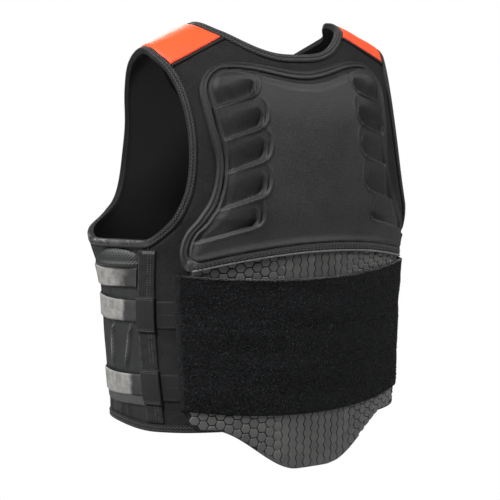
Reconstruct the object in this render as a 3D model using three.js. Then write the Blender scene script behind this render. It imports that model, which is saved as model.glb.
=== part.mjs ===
// Impact vest in the shape it has when worn: padded back and front walls, stretch mesh sides, a moulded
// upper back pad, a honeycomb back plate under a loop-pile waist band, shoulder patches and side straps.
// Millimetres, +Z up. The wearer faces -Y and the wearer's left is +X.
// The origin is midway between the two shoulder straps, level with the inside of their crests.
//
// Every piece is laid out on one body form. A spot on it has a girth, the distance round the body from the
// middle of the back (positive towards the wearer's left), and a level, the height above the armpit line.
// Above the armpit line a column of equal girth closes over the shoulder on a quarter ellipse, so that level
// COLUMN_RISE is the shoulder crest. A depth is measured outwards from the form's face.
import * as THREE from "three";
import { mergeVertices } from "three/addons/utils/BufferGeometryUtils.js";

// Body form: half of each oval section is a broad arc and a corner arc, at the back and in front
const BODY_SECTIONS = [
  { level: -385, halfWidth: 206, backDepth: 132, frontDepth: 114, backCorner: 108, frontCorner: 60 },
  { level: -300, halfWidth: 208, backDepth: 134, frontDepth: 116, backCorner: 110, frontCorner: 62 },
  { level: -225, halfWidth: 210, backDepth: 137, frontDepth: 118, backCorner: 112, frontCorner: 62 },
  { level: -115, halfWidth: 213, backDepth: 140, frontDepth: 120, backCorner: 114, frontCorner: 62 },
  { level: -65, halfWidth: 217, backDepth: 142, frontDepth: 122, backCorner: 118, frontCorner: 66 },
  { level: 0, halfWidth: 229, backDepth: 143, frontDepth: 126, backCorner: 124, frontCorner: 74 },
];
const BODY_CENTRE_Y = -25;
const ARMPIT_Z = -220;
const COLUMN_RISE = 290;

// Shoulder crest: a roof that falls to each side, rounded over the neck
const STRAP_MIDDLE_X = 145;
const SHOULDER_SLOPE = Math.tan(THREE.MathUtils.degToRad(24));
const CREST_ROUNDING = 45;

// Where the wall stands off the body: the front corner of each armhole, and each side below it
const FLARES = [
  { girth: 338, girthReach: 50, level: -28, levelReach: 50, height: 12 },
  { girth: 305, girthReach: 60, level: -130, levelReach: 90, height: 7 },
];

// Layers, outwards from the form's face
const PADDED_WALL = 6;
const MESH_WALL = 2;
const CREST_Z = PADDED_WALL;
const SEAM_GAP = 0.4;
const LAY = 1.4;
const CREST_GAP = 0.3;

// Sewn edges of the padded panels; the front's girth is counted from the middle of the front
const HEM_LEVEL = -263;
const HEM_RISE = 9;
const ARMHOLE_FOOT = -38;
const BACK_EDGE = [
  { level: -267, girth: 211 },
  { level: -167, girth: 222 },
  { level: -91, girth: 226 },
  { level: -50, girth: 226 },
  { level: -38, girth: 224 },
  { level: -28, girth: 211 },
  { level: -14, girth: 195 },
  { level: 4, girth: 181.5 },
  { level: 26, girth: 170 },
  { level: 55, girth: 163 },
  { level: 95, girth: 160 },
  { level: 135, girth: 162.5 },
  { level: 170, girth: 168 },
  { level: 205, girth: 176 },
  { level: 235, girth: 184 },
  { level: 290, girth: 187 },
];
const FRONT_EDGE = [
  { level: -267, girth: 236 },
  { level: -50, girth: 247 },
  { level: -38, girth: 246 },
  { level: -28, girth: 228 },
  { level: -14, girth: 193 },
  { level: 4, girth: 165 },
  { level: 26, girth: 151 },
  { level: 55, girth: 146 },
  { level: 95, girth: 147 },
  { level: 145, girth: 164 },
  { level: 200, girth: 180 },
  { level: 235, girth: 184 },
  { level: 290, girth: 187 },
];
const PANEL_LEVELS = [
  HEM_LEVEL, -225, -180, -135, -95, -67, -52, ARMHOLE_FOOT,
  -28, -14, 4, 26, 55, 95, 135, 170, 205, 235, 264, COLUMN_RISE - CREST_GAP,
];
const SIDE_ROWS = PANEL_LEVELS.indexOf(ARMHOLE_FOOT);

// Neckline: the share of the panel's half girth that it cuts off at the crest, and its lowest levels
const NECK_SHARE = 0.616;
const NECK_CURVE = 2.3;
const BACK_NECK_LEVEL = 144;
const FRONT_NECK_LEVEL = 95;
const NECK_SPREAD = { share: 0.15, run: 60 };
const HALF_SHARES = [0, 0.13, 0.26, 0.38, 0.48, 0.55, 0.595, NECK_SHARE, 0.712, 0.808, 0.904, 1];

// Edge bindings
const BINDING_WIDTH = 9;
const BINDING_PROUD = 1;

// Side panels: stretch mesh with a puffed arch under the armhole
const SIDE_COLUMNS = 10;
const PUFF = { girth: 275, halfGirth: 34, level: -52, halfLevel: 14, height: 6 };

// Upper back pad: outline, then its relief outwards from the wall
const PAD_SIDE = [
  { level: -62, girth: 181 },
  { level: -40, girth: 184 },
  { level: -18, girth: 178 },
  { level: 0, girth: 164 },
  { level: 20, girth: 148 },
  { level: 45, girth: 139 },
  { level: 65, girth: 138 },
  { level: 90, girth: 143 },
  { level: 130, girth: 147 },
  { level: 175, girth: 147 },
];
const PAD_FOOT = { level: -46, drop: 19, atGirth: 170 };
const PAD_TOP = { level: 133, rise: 38, atGirth: 125 };
const PAD_TOP_CORNER = 36;
const PAD_FOOT_CORNER = 12;
const PAD_RIM = 11;
const PAD_EDGE_DEPTH = 3.4;
const PAD_BEAD = 5;
const PAD_GROOVE_DEPTH = 4.4;
const PAD_FIELD_DEPTH = 13.5;
const PAD_FIELD_SLOPE = 13;
const PAD_FLANGE_DEPTH = 11;
const PAD_SHARES = [0, 0.2, 0.36, 0.46, 0.53, 0.6, 0.67, 0.74, 0.81, 0.87, 0.925, 0.965, 1];
const PAD_ROWS = 26;
const PAD_EDGE_STEPS = [0, PAD_RIM / 2, PAD_RIM, PAD_RIM + PAD_FIELD_SLOPE];
const FINGERS = [
  { girth: 77, level: 127, tilt: 2 },
  { girth: 74, level: 93, tilt: 6 },
  { girth: 74, level: 62, tilt: 9 },
  { girth: 78, level: 30, tilt: 12 },
  { girth: 88, level: -1, tilt: 14 },
];
const FINGER_RADIUS = 12;
const FINGER_DEPTH = 6;
const FINGER_WALL = 5;

// Back plate: tucked under the pad at the top, a rounded tail at the foot
const PLATE_HALF = 171;
const PLATE_TUCK = 9;
const PLATE_FOOT = { level: -269, tail: 58, halfGirth: 142, flank: 120 };
const PLATE_CORNER = 22;
const PLATE_THICK = 4.6;
const PLATE_COLUMNS = 22;
const PLATE_ROWS = 10;

// Waist band: over the plate, down to the wall at its ends
const BAND_TOP = { level: -80, rise: 11 };
const BAND_FOOT = { level: -255, rise: 13 };
const BAND_HALF = 190;
const BAND_TAPER = 0.062;
const BAND_THICK = 2.6;
const BAND_END = 7;
const BAND_SHARES = [0, 0.13, 0.26, 0.39, 0.52, 0.65, 0.78, 0.88, 0.93, 0.965, 1];
const BAND_ROWS = 6;

// Shoulder patches and the tapes along their lower edges
const PATCH = { level: 203, middleGirth: 137, fall: 0.15, inset: 1.5, thick: 1.6 };
const PATCH_COLUMNS = 4;
const PATCH_ROWS = 6;
const TAPE_WIDTH = 6;
const TAPE_THICK = 2;

// Trim over the seam between back and side
const TRIM = { halfWidth: 12, thick: 1.6, end: 2 };

// Side straps from the trim round to the front panel, with keeper tabs and the webbing that anchors them
const STRAPS = [
  { place: "upper", top: -64, width: 25, lean: 0, tab: null },
  { place: "middle", top: -101, width: 28, lean: -5, tab: { top: -99, height: 46 } },
  { place: "lower", top: -198, width: 28, lean: -2, tab: { top: -192, height: 45 } },
];
const STRAP_THICK = 1.8;
const STRAP_FRONT_GIRTH = 214;
const STRAP_COLUMNS = 10;
const TAB = { thick: 1.8, depth: 4.4, cover: 4 };
const ANCHOR = { thick: 1.2, margin: 5 };
const STRAP_GAP = 1;

const FINISHES = {
  cloth: { color: 0x1d1d1f, roughness: 0.85, metalness: 0 },
  mesh: { color: 0x232325, roughness: 0.8, metalness: 0 },
  pad: { color: 0x202022, roughness: 0.75, metalness: 0 },
  plate: { color: 0x55524f, roughness: 0.5, metalness: 0 },
  pile: { color: 0x0c0d0e, roughness: 1, metalness: 0 },
  patch: { color: 0xf2602a, roughness: 0.6, metalness: 0 },
  binding: { color: 0x161617, roughness: 0.8, metalness: 0 },
  strap: { color: 0x6a6865, roughness: 0.8, metalness: 0 },
  webbing: { color: 0x121213, roughness: 0.8, metalness: 0 },
};

// Value of one column of a table at a level between its rows, on smooth cubics through the rows
function follow(rows, name, level) {
  const last = rows.length - 1;
  const slope = (index) => {
    const above = rows[Math.min(index + 1, last)];
    const below = rows[Math.max(index - 1, 0)];
    return (above[name] - below[name]) / (above.level - below.level);
  };
  if (level <= rows[0].level) return rows[0][name];
  if (level >= rows[last].level) return rows[last][name];
  const next = rows.findIndex((row) => row.level > level);
  const from = rows[next - 1];
  const to = rows[next];
  const span = to.level - from.level;
  const t = (level - from.level) / span;
  const start = (1 + 2 * t) * (1 - t) ** 2 * from[name] + t * (1 - t) ** 2 * span * slope(next - 1);
  const end = t ** 2 * (3 - 2 * t) * to[name] - t ** 2 * (1 - t) * span * slope(next);
  return start + end;
}

// Half of one oval section, from the middle of the back or front to the side
function halfOval(level, face) {
  const halfWidth = follow(BODY_SECTIONS, "halfWidth", level);
  const depth = follow(BODY_SECTIONS, `${face}Depth`, level);
  const corner = follow(BODY_SECTIONS, `${face}Corner`, level);
  const cornerX = halfWidth - corner;
  const broad = (cornerX ** 2 + depth ** 2 - corner ** 2) / (2 * (depth - corner));
  const turn = Math.asin(cornerX / (broad - corner));
  const length = broad * turn + corner * (Math.PI / 2 - turn);
  return { depth, corner, cornerX, broad, turn, length };
}

function halfGirth(level) {
  const below = Math.min(level, 0);
  return halfOval(below, "back").length + halfOval(below, "front").length;
}

// Girth of a spot that is given by its distance from the middle of the front
function frontGirth(fromFront, level) {
  return halfGirth(level) - fromFront;
}

function crestHeight(x) {
  const rounded = (reach) => Math.hypot(reach, CREST_ROUNDING);
  return CREST_Z - SHOULDER_SLOPE * (rounded(x) - rounded(STRAP_MIDDLE_X));
}

function bodyPoint(girth, level) {
  const below = Math.min(level, 0);
  const back = halfOval(below, "back");
  const onBack = Math.abs(girth) <= back.length;
  const oval = onBack ? back : halfOval(below, "front");
  const along = onBack ? girth : Math.sign(girth) * (back.length + oval.length - Math.abs(girth));
  const reach = Math.abs(along);
  const broadEnd = oval.broad * oval.turn;
  const onBroad = reach <= broadEnd;
  const angle = onBroad ? reach / oval.broad : oval.turn + (reach - broadEnd) / oval.corner;
  const radius = onBroad ? oval.broad : oval.corner;
  const centreX = onBroad ? 0 : oval.cornerX;
  const centreY = onBroad ? oval.depth - oval.broad : 0;
  const x = Math.sign(along) * (centreX + radius * Math.sin(angle));
  const outY = centreY + radius * Math.cos(angle);
  const y = BODY_CENTRE_Y + (onBack ? outY : -outY);
  if (level <= 0) return new THREE.Vector3(x, y, ARMPIT_Z + level);
  const lift = (level / COLUMN_RISE) * (Math.PI / 2);
  const z = ARMPIT_Z + (crestHeight(x) - ARMPIT_Z) * Math.sin(lift);
  return new THREE.Vector3(x, y * Math.cos(lift), z);
}

function outward(girth, level) {
  const step = 0.5;
  const up = bodyPoint(girth, level + step).sub(bodyPoint(girth, level - step));
  const round = bodyPoint(girth + step, level).sub(bodyPoint(girth - step, level));
  return up.cross(round).normalize();
}

function wallPoint(girth, level, depth) {
  const half = halfGirth(level);
  const fromBack = half - Math.abs(half - Math.abs(girth));
  const flare = FLARES.reduce((sum, place) => {
    const aside = (fromBack - place.girth) / place.girthReach;
    const above = (level - place.level) / place.levelReach;
    return sum + place.height * Math.exp(-(aside ** 2) - above ** 2);
  }, 0);
  return bodyPoint(girth, level).addScaledVector(outward(girth, level), depth + flare);
}

function smooth(t) {
  return THREE.MathUtils.smoothstep(t, 0, 1);
}

// Shares from -1 to 1 out of those from 0 to 1
function bothWays(shares) {
  const left = shares.slice(1).map((share) => -share);
  return [...left.reverse(), ...shares];
}

// Turn the triangles round where a piece was laid out the other way about
function faceOut(geometry) {
  const index = geometry.getIndex();
  const spots = geometry.getAttribute("position");
  const corner = (at) => new THREE.Vector3().fromBufferAttribute(spots, index.getX(at));
  let volume = 0;
  for (let at = 0; at < index.count; at += 3) {
    volume += corner(at).dot(corner(at + 1).cross(corner(at + 2)));
  }
  if (volume > 0) return;
  for (let at = 0; at < index.count; at += 3) {
    const second = index.getX(at + 1);
    index.setX(at + 1, index.getX(at + 2));
    index.setX(at + 2, second);
  }
}

// Split each four-sided cell along its shorter diagonal
function splitCells(geometry) {
  const index = geometry.getIndex();
  const spots = geometry.getAttribute("position");
  const spot = (corner) => new THREE.Vector3().fromBufferAttribute(spots, corner);
  for (let at = 0; at < index.count; at += 6) {
    const [first, second, fourth, , third] = index.array.slice(at, at + 6);
    if (spot(first).distanceTo(spot(third)) < spot(second).distanceTo(spot(fourth))) {
      index.set([first, second, third, first, third, fourth], at);
    }
  }
}

// A box of columns and rows, one layer through, bent so that each corner goes where place() says
function bentBox(columns, rows, place) {
  const box = new THREE.BoxGeometry(1, 1, 1, columns, rows, 1);
  box.deleteAttribute("normal");
  box.deleteAttribute("uv");
  const spots = box.getAttribute("position");
  for (let at = 0; at < spots.count; at += 1) {
    const column = Math.round((spots.getX(at) + 0.5) * columns);
    const row = Math.round((spots.getY(at) + 0.5) * rows);
    const spot = place(column, row, spots.getZ(at) > 0);
    spots.setXYZ(at, spot.x, spot.y, spot.z);
  }
  const welded = mergeVertices(box);
  splitCells(welded);
  faceOut(welded);
  welded.computeVertexNormals();
  return welded;
}

// A piece of the wall: spread() gives the girth, level and two depths at each column and row
function wallPiece(columns, rows, spread, side = 1) {
  return bentBox(columns, rows, (column, row, outer) => {
    const spot = spread(column, row);
    return wallPoint(side * spot.girth, spot.level, outer ? spot.outer : spot.inner);
  });
}

// Level of the neckline at a share of the panel's half girth
function necklineLevel(share, lowest) {
  const reach = Math.min(Math.abs(share) / NECK_SHARE, 1);
  const rise = 1 - (1 - reach ** NECK_CURVE) ** (1 / NECK_CURVE);
  return lowest + (COLUMN_RISE - CREST_GAP - lowest) * rise;
}

// Share of the panel's half girth that the neckline cuts off at a level
function necklineShare(level, lowest) {
  const rise = THREE.MathUtils.clamp((level - lowest) / (COLUMN_RISE - lowest), 0, 1);
  return NECK_SHARE * (1 - (1 - rise) ** NECK_CURVE) ** (1 / NECK_CURVE);
}

// Share of the front panel's half girth, moved out below the crest, where the front neckline is wider
function spreadShare(share, level) {
  const neck = NECK_SHARE + NECK_SPREAD.share * smooth((COLUMN_RISE - level) / NECK_SPREAD.run);
  const reach = Math.abs(share);
  if (reach <= NECK_SHARE) return share * (neck / NECK_SHARE);
  return Math.sign(share) * (1 - (1 - reach) * ((1 - neck) / (1 - NECK_SHARE)));
}

// Lift of a level below the armhole, where the hem rises from the back (share 0) to the front (share 1)
function hemLift(level, share) {
  const below = THREE.MathUtils.clamp((ARMHOLE_FOOT - level) / (ARMHOLE_FOOT - HEM_LEVEL), 0, 1);
  return HEM_RISE * share * below;
}

// Level of a padded panel's row: rows run from the hem to the crest, or to the neckline under the neck
function panelLevel(share, row, lowest) {
  const rise = (PANEL_LEVELS[row] - HEM_LEVEL) / (PANEL_LEVELS.at(-1) - HEM_LEVEL);
  return HEM_LEVEL + rise * (necklineLevel(share, lowest) - HEM_LEVEL);
}

const backSpot = (share, row) => {
  const level = panelLevel(share, row, BACK_NECK_LEVEL);
  return { girth: share * follow(BACK_EDGE, "girth", level), level };
};

const frontSpot = (share, row) => {
  const sewn = panelLevel(share, row, FRONT_NECK_LEVEL);
  const level = sewn + hemLift(sewn, 1);
  const fromMiddle = spreadShare(share, level) * follow(FRONT_EDGE, "girth", level);
  return { girth: frontGirth(fromMiddle, level), level };
};

function paddedPanel(spotAt) {
  const shares = bothWays(HALF_SHARES);
  const rows = PANEL_LEVELS.length - 1;
  return wallPiece(shares.length - 1, rows, (column, row) => {
    return { ...spotAt(shares[column], row), inner: -PADDED_WALL, outer: 0 };
  });
}

// Spot on a side panel, whose first column is the back seam and whose last is the front seam
function sideSpot(column, row) {
  const share = column / SIDE_COLUMNS;
  const level = PANEL_LEVELS[row] + hemLift(PANEL_LEVELS[row], smooth(share));
  const from = follow(BACK_EDGE, "girth", level) + SEAM_GAP;
  const to = frontGirth(follow(FRONT_EDGE, "girth", level) + SEAM_GAP, level);
  return { girth: THREE.MathUtils.lerp(from, to, share), level };
}

function sidePanel(side) {
  const spread = (column, row) => {
    const spot = sideSpot(column, row);
    const aside = (spot.girth - PUFF.girth) / PUFF.halfGirth;
    const above = (spot.level - PUFF.level) / PUFF.halfLevel;
    const puff = PUFF.height * smooth(1 - aside ** 2 - above ** 2);
    return { ...spot, inner: puff - MESH_WALL, outer: puff };
  };
  return wallPiece(SIDE_COLUMNS, SIDE_ROWS, spread, side);
}

// Stations of an edge, each with the direction off the panel; turn is 1 or -1 and picks the side
function edgeLine(spots, turn) {
  return spots.map((spot, index) => {
    const before = spots[Math.max(index - 1, 0)];
    const after = spots[Math.min(index + 1, spots.length - 1)];
    const off = new THREE.Vector2(before.level - after.level, after.girth - before.girth);
    return { spot, off: off.normalize().multiplyScalar(turn) };
  });
}

// A binding that closes an edge and stands a little proud of both faces
function bindingStrip(stations, side = 1) {
  return wallPiece(stations.length - 1, 1, (column, row) => {
    const { spot, off } = stations[column];
    const width = SEAM_GAP + row * BINDING_WIDTH;
    return {
      girth: spot.girth + off.x * width,
      level: spot.level + off.y * width,
      inner: -PADDED_WALL - BINDING_PROUD,
      outer: BINDING_PROUD,
    };
  }, side);
}

function armholeBinding(side) {
  const upper = [...PANEL_LEVELS.keys()].slice(SIDE_ROWS);
  const down = upper.map((row) => backSpot(1, row)).reverse();
  const across = Array.from({ length: SIDE_COLUMNS - 1 }, (_, index) => sideSpot(index + 1, SIDE_ROWS));
  const up = upper.map((row) => frontSpot(1, row));
  return bindingStrip(edgeLine([...down, ...across, ...up], 1), side);
}

function neckBinding() {
  const shares = bothWays(HALF_SHARES).filter((share) => Math.abs(share) <= NECK_SHARE);
  const top = PANEL_LEVELS.length - 1;
  const back = shares.map((share) => backSpot(share, top));
  const front = shares.map((share) => frontSpot(-share, top));
  return bindingStrip([...edgeLine(back, 1), ...edgeLine(front, 1)]);
}

function hemBinding() {
  const shares = bothWays(HALF_SHARES);
  const sideColumns = Array.from({ length: SIDE_COLUMNS + 1 }, (_, column) => column);
  const left = sideColumns.map((column) => sideSpot(column, 0));
  const right = left.map((spot) => ({ girth: -spot.girth, level: spot.level })).reverse();
  const back = shares.map((share) => backSpot(share, 0));
  const front = HALF_SHARES.slice(1).map((share) => frontSpot(share, 0)).reverse();
  const middle = { girth: halfGirth(HEM_LEVEL) - CREST_GAP, level: HEM_LEVEL + HEM_RISE };
  const leftFront = [...front, middle];
  const rightFront = leftFront.map((spot) => ({ girth: -spot.girth, level: spot.level })).reverse();
  return bindingStrip(edgeLine([...rightFront, ...right, ...back, ...left, ...leftFront], -1));
}

function padFoot(girth) {
  return PAD_FOOT.level - PAD_FOOT.drop * (girth / PAD_FOOT.atGirth) ** 2;
}

function padTop(girth) {
  return PAD_TOP.level + PAD_TOP.rise * smooth(Math.abs(girth) / PAD_TOP.atGirth);
}

// How far a rounded corner of a given radius cuts in, at a distance from the side
function cornerCut(fromSide, radius) {
  const inside = Math.max(radius - fromSide, 0);
  return radius - Math.sqrt(radius ** 2 - inside ** 2);
}

function padFingerDepth(girth, level) {
  let deepest = 0;
  for (const finger of FINGERS) {
    const tilt = THREE.MathUtils.degToRad(finger.tilt);
    const out = Math.abs(girth) - finger.girth - FINGER_RADIUS;
    const up = level - finger.level;
    const along = Math.max(out * Math.cos(tilt) - up * Math.sin(tilt), 0);
    const beyond = Math.min(out * Math.cos(tilt) - up * Math.sin(tilt), 0);
    const across = up * Math.cos(tilt) + out * Math.sin(tilt);
    const inside = FINGER_RADIUS - Math.hypot(across, beyond);
    const lean = THREE.MathUtils.clamp(0.5 - across / (2 * FINGER_RADIUS), 0, 1);
    const depth = along >= 0 ? FINGER_DEPTH * lean * smooth(inside / FINGER_WALL) : 0;
    deepest = Math.max(deepest, depth);
  }
  return deepest;
}

// Outer face of the pad: a bead round the rim, a groove, then the raised field with its finger recesses
function padFace(girth, level) {
  const fromSide = follow(PAD_SIDE, "girth", level) - Math.abs(girth);
  const fromTop = padTop(girth) - cornerCut(fromSide, PAD_TOP_CORNER) - level;
  const fromFoot = level - padFoot(girth);
  const inside = Math.min(fromSide, fromTop, fromFoot);
  const bead = PAD_BEAD * Math.sin(Math.PI * THREE.MathUtils.clamp(inside / PAD_RIM, 0, 1));
  const rim = PAD_EDGE_DEPTH + bead;
  const field = smooth((inside - PAD_RIM) / PAD_FIELD_SLOPE);
  const raised = THREE.MathUtils.lerp(PAD_GROOVE_DEPTH, PAD_FIELD_DEPTH, field);
  const face = inside < PAD_RIM ? rim : raised - field * padFingerDepth(girth, level);
  const flange = PAD_FLANGE_DEPTH * smooth((2 * PAD_RIM - fromFoot) / PAD_RIM);
  return Math.max(face, flange);
}

// Inner face of the pad: on the wall above, over the plate's tucked edge below
function padBack(girth, level) {
  const overPlate = smooth((PLATE_TUCK + PAD_RIM - (level - padFoot(girth))) / PAD_RIM);
  return LAY + overPlate * (PLATE_THICK + LAY);
}

// Level of a row of the pad: close steps over the rim at the foot and the top, even steps between them
function padLevel(row, foot, top) {
  const last = PAD_EDGE_STEPS.length - 1;
  if (row <= last) return foot + PAD_EDGE_STEPS[row];
  if (PAD_ROWS - row <= last) return top - PAD_EDGE_STEPS[PAD_ROWS - row];
  const rise = (row - last) / (PAD_ROWS - 2 * last);
  return THREE.MathUtils.lerp(foot + PAD_EDGE_STEPS[last], top - PAD_EDGE_STEPS[last], rise);
}

function upperBackPad() {
  const shares = bothWays(PAD_SHARES);
  return wallPiece(shares.length - 1, PAD_ROWS, (column, row) => {
    const share = shares[column];
    const topHalf = follow(PAD_SIDE, "girth", PAD_TOP.level + PAD_TOP.rise);
    const footHalf = follow(PAD_SIDE, "girth", PAD_FOOT.level - PAD_FOOT.drop);
    const fromSide = 1 - Math.abs(share);
    const top = padTop(share * topHalf) - cornerCut(fromSide * topHalf, PAD_TOP_CORNER);
    const foot = padFoot(share * footHalf) + cornerCut(fromSide * footHalf, PAD_FOOT_CORNER);
    const level = padLevel(row, foot, top);
    const girth = share * follow(PAD_SIDE, "girth", level);
    return { girth, level, inner: padBack(girth, level), outer: padFace(girth, level) };
  });
}

function plateFoot(girth) {
  const inside = (PLATE_FOOT.halfGirth - Math.abs(girth)) / PLATE_FOOT.flank;
  const corner = cornerCut(PLATE_HALF - Math.abs(girth), PLATE_CORNER);
  return PLATE_FOOT.level - PLATE_FOOT.tail * smooth(inside) + corner;
}

function backPlate() {
  return wallPiece(PLATE_COLUMNS, PLATE_ROWS, (column, row) => {
    const girth = PLATE_HALF * ((2 * column) / PLATE_COLUMNS - 1);
    const top = padFoot(girth) + PLATE_TUCK;
    const level = THREE.MathUtils.lerp(plateFoot(girth), top, row / PLATE_ROWS);
    return { girth, level, inner: LAY, outer: LAY + PLATE_THICK };
  });
}

function waistBand() {
  const shares = bothWays(BAND_SHARES);
  return wallPiece(shares.length - 1, BAND_ROWS, (column, row) => {
    const share = shares[column];
    const top = BAND_TOP.level + BAND_TOP.rise * share ** 2;
    const foot = BAND_FOOT.level + BAND_FOOT.rise * share ** 2;
    const level = THREE.MathUtils.lerp(foot, top, row / BAND_ROWS);
    const half = BAND_HALF + BAND_TAPER * (level - BAND_TOP.level);
    const girth = share * half;
    const onPlate = smooth((half - Math.abs(girth)) / BAND_END);
    const inner = LAY + onPlate * (PLATE_THICK + LAY);
    return { girth, level, inner, outer: inner + BAND_THICK };
  });
}

// Lower edge of a shoulder patch at a girth from the middle
function patchEdge(fromMiddle) {
  return PATCH.level - PATCH.fall * (fromMiddle - PATCH.middleGirth);
}

// Spot across a shoulder strap between its two bindings, at a level on the back or the front
function strapSpot(face, across, levelAt) {
  const edge = face === "back" ? BACK_EDGE : FRONT_EDGE;
  const lowest = face === "back" ? BACK_NECK_LEVEL : FRONT_NECK_LEVEL;
  const span = (level) => {
    const outer = follow(edge, "girth", level);
    const neck = necklineShare(level, lowest);
    const inner = outer * (face === "back" ? neck : spreadShare(neck, level));
    return THREE.MathUtils.lerp(inner + PATCH.inset, outer - PATCH.inset, across);
  };
  const level = levelAt(span(PATCH.level));
  const fromMiddle = span(level);
  return { girth: face === "back" ? fromMiddle : frontGirth(fromMiddle, level), level };
}

function shoulderPatch(side) {
  const spread = (column, row) => {
    const face = row <= PATCH_ROWS ? "back" : "front";
    const rise = 1 - Math.abs(row - PATCH_ROWS) / PATCH_ROWS;
    const levelAt = (fromMiddle) => THREE.MathUtils.lerp(patchEdge(fromMiddle), COLUMN_RISE, rise);
    const spot = strapSpot(face, column / PATCH_COLUMNS, levelAt);
    return { ...spot, inner: LAY, outer: LAY + PATCH.thick };
  };
  return wallPiece(PATCH_COLUMNS, 2 * PATCH_ROWS, spread, side);
}

function shoulderTape(face, side) {
  const spread = (column, row) => {
    const levelAt = (fromMiddle) => patchEdge(fromMiddle) - SEAM_GAP - (1 - row) * TAPE_WIDTH;
    const spot = strapSpot(face, column / PATCH_COLUMNS, levelAt);
    return { ...spot, inner: LAY, outer: LAY + TAPE_THICK };
  };
  return wallPiece(PATCH_COLUMNS, 1, spread, side);
}

// Girth of the trim's edge that lies towards the back (-1) or towards the front (1)
function trimEdge(level, way) {
  return follow(BACK_EDGE, "girth", level) + way * TRIM.halfWidth;
}

function sideTrim(side) {
  const spread = (column, row) => {
    const level = THREE.MathUtils.clamp(PANEL_LEVELS[row], HEM_LEVEL + TRIM.end, ARMHOLE_FOOT - TRIM.end);
    return { girth: trimEdge(level, column - 1), level, inner: LAY, outer: LAY + TRIM.thick };
  };
  return wallPiece(2, SIDE_ROWS, spread, side);
}

function sideStrap(strap, side) {
  const spread = (column, row) => {
    const along = column / STRAP_COLUMNS;
    const level = strap.top - (1 - row) * strap.width + strap.lean * (1 - along);
    const from = trimEdge(level, 1) + STRAP_GAP;
    const to = frontGirth(STRAP_FRONT_GIRTH, level);
    return {
      girth: THREE.MathUtils.lerp(from, to, along),
      level,
      inner: LAY,
      outer: LAY + STRAP_THICK,
    };
  };
  return wallPiece(STRAP_COLUMNS, 1, spread, side);
}

function strapTab(strap, side) {
  const spread = (column, row) => {
    const level = strap.tab.top - (1 - row) * strap.tab.height;
    return {
      girth: THREE.MathUtils.lerp(trimEdge(level, -1), trimEdge(level, 1) + TAB.cover, column / 2),
      level,
      inner: TAB.depth,
      outer: TAB.depth + TAB.thick,
    };
  };
  return wallPiece(2, 1, spread, side);
}

function strapAnchor(strap, side) {
  const spread = (column, row) => {
    const level = strap.tab.top - ANCHOR.margin - (1 - row) * (strap.tab.height - 2 * ANCHOR.margin);
    const bandEnd = BAND_HALF + BAND_TAPER * (level - BAND_TOP.level) + STRAP_GAP;
    const trimSide = trimEdge(level, -1) - STRAP_GAP;
    return {
      girth: THREE.MathUtils.lerp(bandEnd, trimSide, column / 2),
      level,
      inner: LAY,
      outer: LAY + ANCHOR.thick,
    };
  };
  return wallPiece(2, 1, spread, side);
}

const vest = new THREE.Group();

function add(name, geometry, finish) {
  const piece = new THREE.Mesh(geometry, new THREE.MeshStandardMaterial(FINISHES[finish]));
  piece.name = name;
  vest.add(piece);
}

add("back_panel", paddedPanel(backSpot), "cloth");
add("front_panel", paddedPanel((share, row) => frontSpot(-share, row)), "cloth");
add("upper_back_pad", upperBackPad(), "pad");
add("back_plate", backPlate(), "plate");
add("waist_band", waistBand(), "pile");
add("neck_binding", neckBinding(), "binding");
add("hem_binding", hemBinding(), "binding");

for (const [hand, side] of [["left", 1], ["right", -1]]) {
  add(`side_panel_${hand}`, sidePanel(side), "mesh");
  add(`armhole_binding_${hand}`, armholeBinding(side), "binding");
  add(`shoulder_patch_${hand}`, shoulderPatch(side), "patch");
  add(`shoulder_tape_back_${hand}`, shoulderTape("back", side), "binding");
  add(`shoulder_tape_front_${hand}`, shoulderTape("front", side), "binding");
  add(`side_trim_${hand}`, sideTrim(side), "binding");
  for (const strap of STRAPS) {
    add(`side_strap_${strap.place}_${hand}`, sideStrap(strap, side), "strap");
    if (strap.tab) {
      add(`strap_tab_${strap.place}_${hand}`, strapTab(strap, side), "webbing");
      add(`strap_anchor_${strap.place}_${hand}`, strapAnchor(strap, side), "webbing");
    }
  }
}

export default vest;
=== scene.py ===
import math

import bpy
import numpy as np
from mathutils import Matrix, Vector


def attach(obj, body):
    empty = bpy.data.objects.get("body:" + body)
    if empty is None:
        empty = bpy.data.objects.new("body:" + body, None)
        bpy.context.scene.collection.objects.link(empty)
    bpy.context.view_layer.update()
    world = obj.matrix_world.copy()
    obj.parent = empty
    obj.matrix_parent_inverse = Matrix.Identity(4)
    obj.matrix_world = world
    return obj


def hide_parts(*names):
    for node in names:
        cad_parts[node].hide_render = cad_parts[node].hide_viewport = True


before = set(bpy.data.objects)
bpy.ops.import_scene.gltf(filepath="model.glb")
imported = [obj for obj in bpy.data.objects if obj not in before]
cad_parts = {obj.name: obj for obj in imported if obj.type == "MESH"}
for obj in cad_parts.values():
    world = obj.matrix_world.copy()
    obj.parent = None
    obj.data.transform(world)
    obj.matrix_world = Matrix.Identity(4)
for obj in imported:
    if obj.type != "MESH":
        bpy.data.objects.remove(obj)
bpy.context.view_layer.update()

METRE = 0.001
DRAWS = np.random.default_rng(7)

# Body form: level, half width, back depth, front depth, back corner, front corner
BODY_SECTIONS = [
    (-385, 206, 132, 114, 108, 60),
    (-300, 208, 134, 116, 110, 62),
    (-225, 210, 137, 118, 112, 62),
    (-115, 213, 140, 120, 114, 62),
    (-65, 217, 142, 122, 118, 66),
    (0, 229, 143, 126, 124, 74),
]
BODY_CENTRE_Y = -25
ARMPIT_Z = -220
COLUMN_RISE = 290
STRAP_MIDDLE_X = 145
SHOULDER_SLOPE = math.tan(math.radians(24))
CREST_ROUNDING = 45
CREST_Z = 6
# Where the wall stands off the body: girth, its reach, level, its reach, height
FLARES = [(338, 50, -28, 50, 12), (305, 60, -130, 90, 7)]

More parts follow.
